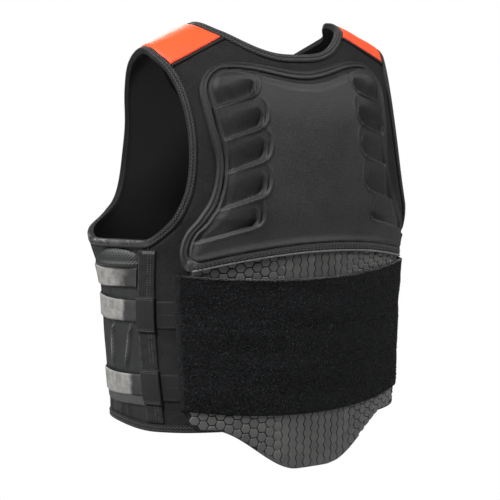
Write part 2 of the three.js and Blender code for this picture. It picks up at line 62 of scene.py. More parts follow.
# Padded panels, with their sewn edges: level, girth (the front's from the middle of the front)
PADDED_WALL = 6
SEWN_RUN, SEWN_DIP = 7, 0.9
HEM_LEVEL = -263
HEM_RISE = 9
ARMHOLE_FOOT = -38
BACK_EDGE = [
    (-267, 211), (-167, 222), (-91, 226), (-50, 226), (-38, 224), (-28, 211), (-14, 195), (4, 181.5),
    (26, 170), (55, 163), (95, 160), (135, 162.5), (170, 168), (205, 176), (235, 184), (290, 187),
]
FRONT_EDGE = [
    (-267, 236), (-50, 247), (-38, 246), (-28, 228), (-14, 193), (4, 165), (26, 151), (55, 146),
    (95, 147), (145, 164), (200, 180), (235, 184), (290, 187),
]
NECK_SHARE = 0.616
NECK_CURVE = 2.3
BACK_NECK_LEVEL = 144
FRONT_NECK_LEVEL = 95
NECK_SPREAD, NECK_SPREAD_RUN = 0.15, 60
FACES = [("back", BACK_EDGE, BACK_NECK_LEVEL), ("front", FRONT_EDGE, FRONT_NECK_LEVEL)]
# Columns under half the neck and across a strap, and rows as low level, high level, count
PANEL_COLUMNS = (42, 24)
PANEL_ROWS = [(HEM_LEVEL, -60, 42), (-60, 30, 46), (30, COLUMN_RISE, 64)]
# Waves in a surface: height, girth period, level period, phase
PANEL_WAVES = [(0.35, 140, 90, 0.4), (0.25, -75, 130, 1.7), (0.2, 60, -58, 2.9)]

# Mesh sides, with a puff under the armhole
MESH_THICK = 1.2
MESH_HOLLOW, MESH_TOP_HOLLOW = 1.6, 1.8
MESH_WAVES = [(0.3, 26, 420, 0.6), (0.2, 15, -300, 2.2)]
PUFF_GIRTH, PUFF_HALF_GIRTH, PUFF_LEVEL, PUFF_HALF_LEVEL, PUFF_HEIGHT = 275, 38, -60, 21, 8.5
# Upright folds, the first two with a painted highlight along them on the net: girth at the low end, lean,
# width, height, low and high level
SIDE_FOLDS = [
    (281, -0.05, 2.6, 4.6, -198, -133), (258, -0.16, 2.4, 4.4, -198, -133), (298, 0.02, 3.4, 2.0, -198, -133),
    (278, 0.0, 2.4, 1.2, -104, -88), (292, 0.1, 2.2, 0.9, -104, -88), (256, 0.1, 2.6, 0.9, -104, -88),
    (272, -0.3, 3.0, 2.6, -262, -228), (296, 0.2, 3.0, 2.4, -262, -228), (250, 0.3, 2.6, 2.2, -262, -228),
]
HIGHLIT_FOLDS = 2
FOLD_FADE = 14

# Upper back pad
PAD_SIDE = [
    (-62, 181), (-40, 184), (-18, 178), (0, 164), (20, 148), (45, 139), (65, 138), (90, 143),
    (130, 147), (175, 147),
]
PAD_FOOT_LEVEL, PAD_FOOT_DROP, PAD_FOOT_AT = -46, 19, 170
PAD_TOP_LEVEL, PAD_TOP_RISE, PAD_TOP_AT = 133, 38, 125
PAD_TOP_CORNER = 36
PAD_FOOT_CORNER = 12
PAD_FIELD_CORNER = 23
PAD_RIM = 11
PAD_BEAD, PAD_LINE = 3.6, 0.9
PAD_GROOVE = 1.6
PAD_STEP, PAD_SHOULDER, PAD_DOME = 2.6, 5.0, 3.8
PAD_EDGE_RIDGE = 1.7
PAD_FLANGE, FLANGE_REACH, FLANGE_RUN, FLANGE_PAST, FLANGE_END = 10.2, 38, 26, 5, 16
PAD_BACK, PAD_LIFT = 0.3, 6.6
# Finger recesses: girth of the tip, level, tilt in degrees
FINGERS = [(77, 127, 2), (74, 93, 6), (74, 62, 9), (78, 30, 12), (88, -1, 14)]
FINGER_RADIUS, FINGER_WALL = 12, 3.0
FINGER_DEPTH = 5.6
FINGER_RIDGE = 2.3
LIP_RADIUS, LIP_WALL = 17, 2.2
LIP_DEPTH = 3.0
LIP_OFFSET = 7
# Piping and stitches along the pad's foot
PIPING_DEPTH, PIPING_RADIUS = 8.8, 1.35
FOOT_REACH = 168
BUMP_LIFTS = (2.9, 5.6)

# Back plate with its honeycomb
PLATE_HALF = 171
PLATE_TUCK = 9
PLATE_FOOT_LEVEL, PLATE_TAIL, PLATE_FOOT_HALF, PLATE_FLANK = -269, 58, 142, 120
PLATE_CORNER = 22
PLATE_FACE, PLATE_EDGE = 4.3, 1.2
CELL_RADIUS = 7.2
CELL_COLUMNS, CELL_ROWS = range(-16, 17), range(-28, 6)
# Rings of a cell: inset from its edge, depth. Then the depth of its middle, and the least area that is kept.
CELL_RINGS = [(0.5, 3.9), (0.85, 5.85), (1.3, 6.05), (3.6, 6.1)]
CELL_MIDDLE = 6.2
CELL_LEAST = 14
# Cells nearer the middle than this join up and down, so that only their sides show
CELL_OPEN_GIRTH, CELL_OPEN_RUN = 50, 30

# Waist band
BAND_TOP_LEVEL, BAND_TOP_RISE = -80, 11
BAND_FOOT_LEVEL, BAND_FOOT_RISE = -255, 13
BAND_HALF, BAND_TAPER, BAND_END = 190, 0.062, 7
BAND_THICK = 2.4
BAND_BASE, BAND_LIFT = 0.4, 6.0
BAND_WAVES = [(0.5, 420, 70, 0.2), (0.35, -300, 41, 1.3)]
BAND_SEAMS, SEAM_WIDTH, SEAM_DIP = (-143, -198), 1.4, 0.7
LOOP_COUNT, FRINGE_COUNT = 16000, 2600

# Bindings: reach across the edge, depths, rounding, and the cover stitches' rows
BINDING_LOW, BINDING_HIGH, BINDING_DEEP, BINDING_PROUD, BINDING_RADIUS = -0.8, 9.2, -7.0, 1.2, 1.7
BINDING_ROWS = ((0.8, 4.0), (4.8, 8.0))

# Shoulder patches and tapes
PATCH_LEVEL, PATCH_MIDDLE, PATCH_FALL, PATCH_INSET = 203, 137, 0.15, 1.0
PATCH_WIDE, PATCH_HIGH, PATCH_THICK = 62, 85, 1.7
PATCH_WAVES = [(0.12, 40, 70, 0.4), (0.1, -26, 90, 1.4)]
TAPE_WIDTH, TAPE_THICK = 6, 2.3

# Trim, straps, tabs and anchors
TRIM_HALF, TRIM_THICK, TRIM_END = 12, 2.0, 2
TRIM_ROWS = (-0.48, -0.16, 0.84)
TRIM_WAVES = [(0.25, 30, 17, 0.0), (0.15, -22, 11, 1.0)]
# Bar tack at the trim's top: level, half height, from and to across it
TACK_LEVEL, TACK_HALF, TACK_FROM, TACK_TO = -43, 2.6, -0.9, 0.5
# Straps: place, top, width, lean, tab top, tab height
STRAPS = [
    ("upper", -64, 25, 0, None, None),
    ("middle", -101, 28, -5, -99, 46),
    ("lower", -198, 28, -2, -192, 45),
]
STRAP_FRONT_GIRTH = 214
STRAP_TUCK = 7
STRAP_BASE, STRAP_BOW, STRAP_THICK = 0.7, 1.4, 1.5
# The strap's waves have periods in shares of its length and width
STRAP_WAVES = [(0.7, 0.9, 4.0, 0.5)]
UNDER_WIDTH, UNDER_LAP, UNDER_THICK = 15, 5, 1.0
TAB_BASE, TAB_ARCH, TAB_THICK, TAB_WIDE = 2.4, 2.0, 1.7, 28
TAB_ROWS = (2.0, 4.2)
ANCHOR_INSET, ANCHOR_THICK = 5, 1.2
WEBBING_BASE = 0.15

# Straight stitches: pitch, length, radius. Zigzag stitches: pitch, radius. Overcast stitches: radius.
PAD_STITCH, BUMP_STITCH = (2.6, 1.5, 0.35), (5.4, 2.9, 1.15)
TRIM_STITCH, TAB_STITCH, ANCHOR_STITCH = (2.9, 1.5, 0.42), (2.4, 1.2, 0.42), (2.6, 1.4, 0.35)
BINDING_STITCH, TACK_STITCH = (2.6, 0.5), (1.1, 0.4)
OVERCAST_STITCH = (0.6,)
ZIGZAG_GAP = 0.08


# Body form

def smooth(t):
    t = np.clip(t, 0, 1)
    return t * t * (3 - 2 * t)


def lerp(a, b, t):
    return a + (b - a) * t


def bell(distance, width):
    return np.exp(-((distance / width) ** 2))


def unit(vectors):
    return vectors / np.linalg.norm(vectors, axis=-1, keepdims=True)


def follow(rows, level, column=1):
    """Value of a table's column at a level, on smooth cubics through the rows, held at the ends."""
    table = np.asarray(rows, float)
    at, value = table[:, 0], table[:, column]
    slope = np.gradient(value, at)
    slope[1:-1] = (value[2:] - value[:-2]) / (at[2:] - at[:-2])
    level = np.clip(level, at[0], at[-1])
    k = np.clip(np.searchsorted(at, level, side="right") - 1, 0, len(at) - 2)
    span = at[k + 1] - at[k]
    t = (level - at[k]) / span
    start = (1 + 2 * t) * (1 - t) ** 2 * value[k] + t * (1 - t) ** 2 * span * slope[k]
    end = t**2 * (3 - 2 * t) * value[k + 1] - t**2 * (1 - t) * span * slope[k + 1]
    return start + end


def half_oval(level, face):
    """Half of a section, from the middle of the back (face 0) or of the front (face 1) to the side."""
    half_width, depth, corner = (follow(BODY_SECTIONS, level, column) for column in (1, 2 + face, 4 + face))
    corner_x = half_width - corner
    broad = (corner_x**2 + depth**2 - corner**2) / (2 * (depth - corner))
    turn = np.arcsin(corner_x / (broad - corner))
    return depth, corner, corner_x, broad, turn, broad * turn + corner * (np.pi / 2 - turn)


def half_girth(level):
    below = np.minimum(level, 0)
    return half_oval(below, 0)[-1] + half_oval(below, 1)[-1]


def front_girth(from_front, level):
    return half_girth(level) - from_front


def crest_height(x):
    beyond = np.hypot(x, CREST_ROUNDING) - math.hypot(STRAP_MIDDLE_X, CREST_ROUNDING)
    return CREST_Z - SHOULDER_SLOPE * beyond


def body_point(girth, level):
    girth, level = np.broadcast_arrays(np.asarray(girth, float), np.asarray(level, float))
    below = np.minimum(level, 0)
    back, front = half_oval(below, 0), half_oval(below, 1)
    on_back = np.abs(girth) <= back[-1]
    depth, corner, corner_x, broad, turn, _ = (np.where(on_back, b, f) for b, f in zip(back, front))
    along = np.where(on_back, girth, np.sign(girth) * (back[-1] + front[-1] - np.abs(girth)))
    reach = np.abs(along)
    on_broad = reach <= broad * turn
    angle = np.where(on_broad, reach / broad, turn + (reach - broad * turn) / corner)
    radius = np.where(on_broad, broad, corner)
    x = np.sign(along) * (np.where(on_broad, 0, corner_x) + radius * np.sin(angle))
    out_y = np.where(on_broad, depth - broad, 0) + radius * np.cos(angle)
    y = BODY_CENTRE_Y + np.where(on_back, out_y, -out_y)
    lift = np.maximum(level, 0) / COLUMN_RISE * (np.pi / 2)
    z = ARMPIT_Z + below + (crest_height(x) - ARMPIT_Z) * np.sin(lift)
    return np.stack([x, y * np.cos(lift), z], axis=-1)


def outward(girth, level):
    step = 0.5
    up = body_point(girth, level + step) - body_point(girth, level - step)
    round_it = body_point(girth + step, level) - body_point(girth - step, level)
    return unit(np.cross(up, round_it))


def wall_point(girth, level, depth):
    girth, level, off = np.broadcast_arrays(*(np.asarray(v, float) for v in (girth, level, depth)))
    half = half_girth(level)
    from_back = half - np.abs(half - np.abs(girth))
    for at, reach, at_level, level_reach, height in FLARES:
        off = off + height * bell(from_back - at, reach) * bell(level - at_level, level_reach)
    return body_point(girth, level) + outward(girth, level) * off[..., None]


def ripple(girth, level, waves):
    """Sum of slanted waves, each (height, girth period, level period, phase)."""
    return sum(
        height * np.sin(2 * np.pi * (girth / across + level / along) + phase)
        for height, across, along, phase in waves)


def unit_grid(columns, rows):
    return np.meshgrid(np.linspace(0, 1, columns), np.linspace(0, 1, rows))


def to_end(share, length):
    """Distance from the nearer end of a length."""
    return np.minimum(share, 1 - share) * length


def rounded(edge, reach, least):
    """Share of the full height at a distance inside a rounded edge."""
    return np.sqrt(np.clip(edge / reach, least, 1))


# Meshes

def placed(name, data):
    piece = bpy.data.objects.new(name, data)
    bpy.context.scene.collection.objects.link(piece)
    return piece


def make(name, points, faces, looks, uv=None, picks=None, sharp=40):
    """Object from millimetre points. Turned inside out where its volume says so."""
    points = np.asarray(points, float)
    used = np.unique(np.concatenate([np.ravel(f) for f in faces]))
    where = np.zeros(len(points), int)
    where[used] = np.arange(len(used))
    points = points[used]
    faces = [where[np.asarray(f)].tolist() for f in faces]
    mesh = bpy.data.meshes.new(name)
    mesh.from_pydata((points * METRE).tolist(), [], faces)
    if volume_of(points, faces) < 0:
        mesh.flip_normals()
    for look in looks:
        mesh.materials.append(look)
    if picks is not None:
        mesh.polygons.foreach_set("material_index", np.asarray(picks, np.int32))
    if uv is not None:
        corners = np.empty(len(mesh.loops), np.int32)
        mesh.loops.foreach_get("vertex_index", corners)
        layer = mesh.uv_layers.new(name="Cloth")
        layer.data.foreach_set("uv", (np.asarray(uv)[used][corners] * METRE).ravel())
    mesh.polygons.foreach_set("use_smooth", np.ones(len(mesh.polygons), bool))
    mesh.set_sharp_from_angle(angle=math.radians(sharp))
    mesh.update()
    piece = placed(name, mesh)
    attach(piece, "root")
    return piece


def volume_of(points, faces):
    fans = [(f[0], f[k], f[k + 1]) for f in faces for k in range(1, len(f) - 1)]
    a, b, c = (points[list(column)] for column in zip(*fans))
    return float((a * np.cross(b, c)).sum())


def slab(name, girth, level, outer, inner, looks, side=1, stride=1, lined=False, zones=None):
    """Closed piece of the wall from grids of girth, level and two depths. The inner face keeps every
    stride-th row. zones gives the look of each outer cell."""
    rows, cols = girth.shape
    points = [wall_point(side * girth, level, depth).reshape(-1, 3) for depth in (outer, inner)]
    uv = np.tile(np.stack([girth, level], axis=-1).reshape(-1, 2), (2, 1))

    def at(r, c, layer=0):
        return (layer * rows + r) * cols + c

    def wall(r, c, to_r, to_c):
        return [at(r, c), at(to_r, to_c), at(to_r, to_c, 1), at(r, c, 1)]

    r, c = np.mgrid[0:rows - 1, 0:cols - 1]
    faces = np.stack([at(r, c), at(r + 1, c), at(r + 1, c + 1), at(r, c + 1)], axis=-1)
    faces = faces.reshape(-1, 4).tolist()
    picks = list(np.ravel(zones)) if zones is not None else [0] * len(faces)
    kept = list(range(0, rows - 1, stride)) + [rows - 1]
    under = []
    for low, high in zip(kept, kept[1:]):
        for c in range(cols - 1):
            right = range(low, high + 1) if c == cols - 2 else (low, high)
            left = range(high, low - 1, -1) if c == 0 else (high, low)
            under.append([at(r, c + 1, 1) for r in right] + [at(r, c, 1) for r in left])
    rim = []
    for c in range(cols - 1):
        rim += [wall(0, c, 0, c + 1), wall(rows - 1, c + 1, rows - 1, c)]
    for r in range(rows - 1):
        rim += [wall(r + 1, 0, r, 0), wall(r, cols - 1, r + 1, cols - 1)]
    picks += [1 if lined else 0] * len(under) + [0] * len(rim)
    return make(name, np.concatenate(points), faces + under + rim, looks, uv, picks)


def stand_for(node, piece):
    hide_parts(node)
    return piece


def form(node, slot, *shape, **options):
    """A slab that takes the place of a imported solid."""
    return stand_for(node, slab(f"{node}_form", *shape, **options))


def run_along(points):
    """Distance along a line of points."""
    return np.concatenate([[0], np.cumsum(np.linalg.norm(np.diff(points, axis=0), axis=1))])


def picked(values, run, where):
    """Spots at some distances along a line of values."""
    return np.stack([np.interp(where, run, column) for column in values.T], axis=1)


def swept(name, girth, level, off, section, looks, side=1, closed=True):
    """A section of (across, depth) spots carried along stations on the body form."""
    across, depth = section.T
    spot_girth = girth[:, None] + off[:, :1] * across
    spot_level = level[:, None] + off[:, 1:] * across
    points = wall_point(side * spot_girth, spot_level, depth)
    count, around = spot_girth.shape
    run, ring = run_along(points[:, 0]), run_along(section)
    uv = np.stack(np.broadcast_arrays(run[:, None], ring), axis=-1).reshape(-1, 2)
    faces = []
    for k in range(count if closed else count - 1):
        here, there = k * around, (k + 1) % count * around
        for j in range(around):
            step = (j + 1) % around
            faces.append([here + j, here + step, there + step, there + j])
    if not closed:
        faces.append(list(range(around))[::-1])
        faces.append([(count - 1) * around + j for j in range(around)])
    return make(name, points.reshape(-1, 3), faces, looks, uv)


def many(name, shape, frames, looks, picks=None):
    """Copies of a small closed shape: frames are (origin, x axis, y axis, z axis) for each copy."""
    spots, shape_faces = shape
    spots = np.asarray(spots, float)
    origin, *axes = frames
    points = origin[:, None] + sum(spots[None, :, k:k + 1] * axis[:, None] for k, axis in enumerate(axes))
    faces = [[k * len(spots) + v for v in f] for k in range(len(origin)) for f in shape_faces]
    if picks is not None:
        picks = np.repeat(picks, len(shape_faces))
    return make(name, points.reshape(-1, 3), faces, looks, None, picks, sharp=70)


STITCH_STEPS = ((0.06, 0.55), (0.3, 1.0), (0.7, 1.0), (0.94, 0.55))


def stitch_shape():
    """A thread bump from 0 to 1 along x, of radius 1: a ring of four spots at each step, between two tips."""
    points = [(0, 0, -0.4)]
    for along, width in STITCH_STEPS:
        ring = ((1, -0.3), (0.7, 0.6 * width), (-0.7, 0.6 * width), (-1, -0.3))
        points += [(along, way * width, rise) for way, rise in ring]
    tip = len(points)
    points.append((1, 0, -0.4))
    faces = []
    for k in range(4):
        step = (k + 1) % 4
        faces.append([0, 1 + k, 1 + step])
        faces.append([tip, tip - 4 + step, tip - 4 + k])
        for here in range(1, tip - 4, 4):
            faces.append([here + k, here + 4 + k, here + 4 + step, here + step])
    return points, faces


def sew(name, rows, stitch, look):
    """Threads for rows of stitches, each row (starts, ends, normals)."""
    starts, ends, normals = (np.concatenate(part) for part in zip(*rows))
    along = ends - starts
    sideways = unit(np.cross(normals, along))
    frames = (starts, along, sideways * stitch[-1], normals * stitch[-1])
    many(name, stitch_shape(), frames, [look])


def stitch_row(girth, level, depth, stitch):
    """Stitches spaced along a line on the body form."""
    pitch, length, _ = stitch
    points, normals = wall_point(girth, level, depth), outward(girth, level)
    run = run_along(points)
    start = np.arange(0.5 * pitch, run[-1] - length, pitch)
    return picked(points, run, start), picked(points, run, start + length), picked(normals, run, start)


def zigzag_row(left, right, normals, stitch):
    """Stitches of a zigzag between two lines of matching points."""
    pitch, _ = stitch
    run = run_along(left)
    where = np.arange(0.5 * pitch, run[-1], pitch)
    even = (np.arange(len(where)) % 2 == 0)[:, None]
    corner = np.where(even, picked(left, run, where), picked(right, run, where))
    start, end = (lerp(corner[:-1], corner[1:], share) for share in (ZIGZAG_GAP, 1 - ZIGZAG_GAP))
    return start, end, picked(normals, run, where)[:-1]


# Materials

class Look:
    """A material whose node tree is put together by small sums."""

    def __init__(self, name):
        self.material = bpy.data.materials.new(name)
        self.material.use_nodes = True
        self.tree = self.material.node_tree
        cloth = self.add("ShaderNodeUVMap")
        cloth.uv_map = "Cloth"
        split = self.add("ShaderNodeSeparateXYZ")
        self.put(split.inputs[0], cloth.outputs["UV"])
        self.u = self.times(split.outputs["X"], 1 / METRE)
        self.v = self.times(split.outputs["Y"], 1 / METRE)

    def add(self, kind):
        return self.tree.nodes.new(kind)

    def put(self, socket, value):
        if isinstance(value, bpy.types.NodeSocket):
            self.tree.links.new(value, socket)
        else:
            socket.default_value = value

    def sum(self, operation, *values):
        node = self.add("ShaderNodeMath")
        node.operation = operation
        for socket, value in zip(node.inputs, values):
            self.put(socket, value)
        return node.outputs[0]

    def times(self, first, second):
        return self.sum("MULTIPLY", first, second)

    def line(self, value, slope, start):
        return self.sum("MULTIPLY_ADD", value, slope, start)

    def clamp(self, value):
        return self.sum("MINIMUM", self.sum("MAXIMUM", value, 0), 1)

    def ramp(self, value, low, high):
        """From 0 at low to 1 at high, held beyond both."""
        return self.clamp(self.line(value, 1 / (high - low), -low / (high - low)))

    def wave(self, value, period):
        return self.sum("SINE", self.times(value, 2 * math.pi / period))

    def pleat(self, value, period):
        """From 1 down to 0 and up again over each period."""
        share = self.sum("FRACT", self.sum("DIVIDE", value, period))
        return self.sum("ABSOLUTE", self.line(share, 2, -1))

    def space(self):
        return self.add("ShaderNodeTexCoord").outputs["Object"]

    def noise(self, scale, detail, rough=0.6):
        """Noise over the object's own space, scale in cells a metre, from about 0 to 1."""
        node = self.add("ShaderNodeTexNoise")
        self.put(node.inputs["Vector"], self.space())
        self.put(node.inputs["Scale"], scale)
        self.put(node.inputs["Detail"], detail)
        self.put(node.inputs["Roughness"], rough)
        return node.outputs["Fac"]

    def mix(self, factor, dark, light):
        node = self.add("ShaderNodeMix")
        node.data_type = "RGBA"
        self.put(node.inputs["Factor"], factor)
        self.put(node.inputs[6], dark)
        self.put(node.inputs[7], light)
        return node.outputs[2]

    def finish(self, colour, rough, specular, height=None, depth=0, strength=0):
        shader = self.tree.nodes["Principled BSDF"]
        self.put(shader.inputs["Base Color"], colour)
        self.put(shader.inputs["Roughness"], rough)
        shader.inputs["Specular IOR Level"].default_value = specular
        if height is not None:
            bump = self.add("ShaderNodeBump")
            bump.inputs["Strength"].default_value = strength
            bump.inputs["Distance"].default_value = depth * METRE
            self.put(bump.inputs["Height"], height)
            self.put(shader.inputs["Normal"], bump.outputs["Normal"])
        return self.material


def grey(value, tint=(1, 1, 1)):
    return (value * tint[0], value * tint[1], value * tint[2], 1)


def knit(look, wale, course):
    """Stocking stitch: rows of small V shapes."""
    fold = look.pleat(look.u, wale)
    slant = look.line(fold, 0.5, look.sum("DIVIDE", look.v, course))
    loop = look.line(look.wave(slant, 1), 0.25, 0.5)
    return look.line(look.sum("SUBTRACT", 1, fold), 0.35, loop)


def woven(look, warp, weft):
    """Plain weave: threads over and under in turn."""
    both = look.times(look.wave(look.u, 2 * warp), look.wave(look.v, 2 * weft))
    return look.line(both, 0.5, 0.5)


def ribbed(look, period, cross):
    """Ribs across the run, with a finer beat along them."""
    rib = look.line(look.wave(look.u, period), 0.3, 0.5)
    return look.line(look.wave(look.v, cross), 0.2, rib)


def holes(look, pitch):
    """Offset rows of small round holes, 1 on the cloth and 0 in a hole."""
    lean = look.times(look.v, 0.8)
    rising, falling = (look.wave(look.sum(way, look.u, lean), 2 * pitch) for way in ("ADD", "SUBTRACT"))
    deep = look.line(look.sum("ABSOLUTE", look.times(rising, falling)), 1.8, -0.3)
    return look.sum("SUBTRACT", 1, look.clamp(deep))


def chevron(look, pitch, width):
    """Rows of slanted stitches that turn back at the middle of each row."""
    slant = look.line(look.pleat(look.v, width), 0.8, look.sum("DIVIDE", look.u, pitch))
    return look.line(look.wave(slant, 1), 0.5, 0.5)


def cloth_look(
    name, dark, light, pattern, rough, specular, depth, strength,
    blotch=18.0, weave=0.35, speck=0.5, painted_top_shade=None, painted_edge_highlight=None,
):
    """Cloth between two colours, with a pattern and its sizes. The painted top shade, (low level, high level,
    drop), makes the cloth darker upwards. The painted edge highlight, (high z, low z, reach, colour), lays
    pale broken patches along an edge below a height, where a crumpled edge catches the light."""
    look = Look(name)
    kind, *sizes = pattern
    height = kind(look, *sizes)
    cloud = look.noise(blotch, 4.0)
    fibre = look.noise(420.0, 2.0)
    tone = look.line(cloud, 0.5, look.line(height, weave, 0.2 - 0.5 * weave))
    tone = look.line(fibre, speck, look.sum("ADD", tone, -0.5 * speck))
    # Painted shade: the cloth gets darker upwards, over the upper faces that the light from above falls on.
    if painted_top_shade:
        low, high, drop = painted_top_shade
        tone = look.line(look.ramp(look.v, low, high), -drop, tone)
    colour = look.mix(look.clamp(tone), dark, light)
    # Painted highlight: pale patches along the edge below a height, where the crumpled tape catches the
    # light.
    if painted_edge_highlight:
        high, low, reach, pale = painted_edge_highlight
        split = look.add("ShaderNodeSeparateXYZ")
        look.put(split.inputs[0], look.space())
        foot = look.ramp(split.outputs["Z"], high, low)
        edge = look.ramp(look.v, 1.3 * reach, 0.3 * reach)
        highlight_patches = look.clamp(look.line(look.noise(90.0, 4.0, 0.75), 4.2, -1.75))
        colour = look.mix(look.times(highlight_patches, look.times(foot, edge)), colour, pale)
    gloss = look.line(cloud, 0.16, rough - 0.08)
    return look.finish(colour, gloss, specular, height, depth, strength)


def thread_look(name, value, rough=0.7):
    look = Look(name)
    twist = look.noise(1400.0, 1.0)
    colour = look.mix(twist, grey(0.65 * value), grey(1.25 * value))
    return look.finish(colour, rough, 0.25, twist, 0.15, 0.5)


MESH_TINT = (0.93, 1.0, 1.04)
PILE_TINT = (0.92, 0.98, 1.08)
PLATE_TINT = (1.0, 0.985, 0.97)
STRAP_TINT = (1, 0.97, 0.93)


def pile_look(name, dark, light, scale=380.0):
    """Tufted loops: clumps a few millimetres wide that differ in tone."""
    look = Look(name)
    clump = look.clamp(look.line(look.noise(scale, 1.0), 7.0, -3.1))
    colour = look.mix(clump, grey(dark, PILE_TINT), grey(light, PILE_TINT))
    return look.finish(colour, 0.85, 0.1)


def mesh_look(name, dark, light, fold_highlight):
    """Net cloth, darker towards the hem, with a painted highlight along the long folds."""
    look = Look(name)
    height = holes(look, 4.3)
    cloud = look.noise(18.0, 4.0)
    tone = look.clamp(look.line(cloud, 0.5, look.line(height, 0.9, -0.25)))
    shade = look.ramp(look.v, -255, -195)
    colour = look.mix(look.times(tone, look.line(shade, 0.8, 0.2)), dark, light)
    # Painted highlight along each of the first folds, pale on the fold's crest and fading to its ends.
    for at, lean, width, _, low, high in SIDE_FOLDS[:HIGHLIT_FOLDS]:
        middle = look.line(look.v, lean, at - lean * low)
        across = look.sum("ABSOLUTE", look.sum("SUBTRACT", look.u, middle))
        ends = look.times(look.ramp(look.v, low, low + 25), look.ramp(look.v, high, high - 25))
        ridge = look.times(look.ramp(across, width / 0.55, 0), ends)
        fold_highlight_share = look.times(look.sum("POWER", ridge, 2.0), look.line(height, 0.3, 0.7))
        colour = look.mix(fold_highlight_share, colour, fold_highlight)
    return look.finish(colour, 0.5, 0.26, height, 0.3, 0.8)


def plate_look(name, dark, light):
    """Satin sheet whose embossed cells differ a little in tone and gloss."""
    look = Look(name)
    island = look.add("ShaderNodeNewGeometry").outputs["Random Per Island"]
    cloud = look.noise(14.0, 3.0)
    grain = look.noise(1600.0, 2.0)
    tone = look.line(island, 0.45, look.line(cloud, 0.6, -0.1))
    gloss = look.line(island, 0.12, look.line(cloud, 0.15, 0.30))
    return look.finish(look.mix(tone, dark, light), gloss, 0.35, grain, 0.08, 0.35)


def strap_look(name, turn, soft):
    """Grey elastic that is pale towards the front and dark behind the girth where its tone turns."""
    look = Look(name)
    height = ribbed(look, 1.7, 0.8)
    cloud = look.noise(90.0, 4.0, 0.75)
    shade = look.line(cloud, 1.3, look.line(height, 0.3, -0.38))
    pale = look.mix(shade, grey(0.04, STRAP_TINT), grey(0.21, STRAP_TINT))
    dark = look.mix(shade, grey(0.006), grey(0.025))
    front = look.line(look.u, 1 / soft, 0.5 - turn / soft)
    front = look.clamp(look.sum("ADD", front, look.line(cloud, 0.8, -0.4)))
    return look.finish(look.mix(front, dark, pale), 0.72, 0.2, height, 0.3, 0.7)


def binding_look(name, painted_edge_highlight=None):
    return cloth_look(
        name, grey(0.001), grey(0.019), (chevron, 4.0, 4.9), 0.8, 0.08, 0.4, 0.9, weave=1.0, painted_edge_highlight=painted_edge_highlight)


# Both knits carry painted shade that makes them darker upwards.
KNIT = cloth_look(
    "knit_cloth", grey(0.002), grey(0.019), (knit, 1.4, 1.2), 0.85, 0.05, 0.35, 0.9,
    speck=0.9, painted_top_shade=(60, 230, 0.2))
PAD_KNIT = cloth_look(
    "pad_cloth", grey(0.002), grey(0.028), (knit, 1.1, 1.5), 0.58, 0.2, 0.35, 0.6,
    weave=0.25, speck=0.9, painted_top_shade=(-20, 150, 0.56))
LINING = cloth_look("lining_cloth", grey(0.007), grey(0.016), (knit, 0.9, 0.9), 0.92, 0.06, 0.15, 0.4)
# The net's last colour is a painted highlight along its two long folds.
MESH = mesh_look("mesh_cloth", grey(0.001), grey(0.0105, MESH_TINT), grey(0.085))
FLANGE = cloth_look("flange_cloth", grey(0.014), grey(0.040), (holes, 3.2), 0.7, 0.14, 0.5, 0.9)
FLANGE_BUMP = thread_look("flange_bumps", 0.005, 0.6)
PILE_GROUND = pile_look("pile_ground", 0.0005, 0.007, 600.0)
PILE_DARK = pile_look("pile_loops", 0.001, 0.020)
PILE_MID = pile_look("pile_grey_loops", 0.002, 0.042)
PILE_LIT = pile_look("pile_flecks", 0.004, 0.085)
PILE_EDGE = thread_look("pile_cut_edge", 0.09, 0.8)
ORANGE = cloth_look(
    "patch_cloth", (0.46, 0.030, 0.005, 1), (0.56, 0.042, 0.009, 1), (woven, 0.55, 0.55), 0.6, 0.2, 0.06, 0.3)
BINDING = binding_look("binding_tape")
# The armhole tape carries a painted highlight in patches along its crumpled foot.
ARMHOLE_TAPE = binding_look("armhole_tape", (-0.243, -0.251, 6.0, grey(0.11)))
TRIM = cloth_look("trim_tape", grey(0.002), grey(0.020), (chevron, 3.2, 3.2), 0.8, 0.08, 0.3, 0.9, weave=0.8)
WEBBING = cloth_look("webbing", grey(0.003), grey(0.016), (woven, 1.1, 0.7), 0.75, 0.1, 0.3, 0.9)
PLATE = plate_look("plate_cells", grey(0.027, PLATE_TINT), grey(0.058, PLATE_TINT))
PLATE_GROUND = cloth_look("plate_ground", grey(0.002), grey(0.005), (woven, 0.5, 0.5), 0.6, 0.2, 0.1, 0.3)
THREAD = thread_look("thread_dark", 0.032)
THREAD_LIT = thread_look("thread_grey", 0.06)
THREAD_PALE = thread_look("thread_pale", 0.09)
PIPING = cloth_look("piping", grey(0.04), grey(0.13), (ribbed, 1.2, 0.8), 0.6, 0.25, 0.2, 0.5)
STRAP_LOOKS = {
    "upper": strap_look("strap_upper", 264, 24),
    "middle": strap_look("strap_middle", 257, 5),
    "lower": strap_look("strap_lower", 247, 5),
}
STRAP_UNDER = cloth_look(
    "strap_under", grey(0.012), grey(0.05), (ribbed, 1.7, 0.8), 0.75, 0.15, 0.3, 0.6, blotch=60.0)


# Padded panels

def neckline_level(share, lowest):
    reach = np.minimum(np.abs(share) / NECK_SHARE, 1)
    return lerp(lowest, COLUMN_RISE, 1 - (1 - reach**NECK_CURVE) ** (1 / NECK_CURVE))


def neckline_share(level, lowest):
    rise = np.clip((level - lowest) / (COLUMN_RISE - lowest), 0, 1)
    return NECK_SHARE * (1 - (1 - rise) ** NECK_CURVE) ** (1 / NECK_CURVE)


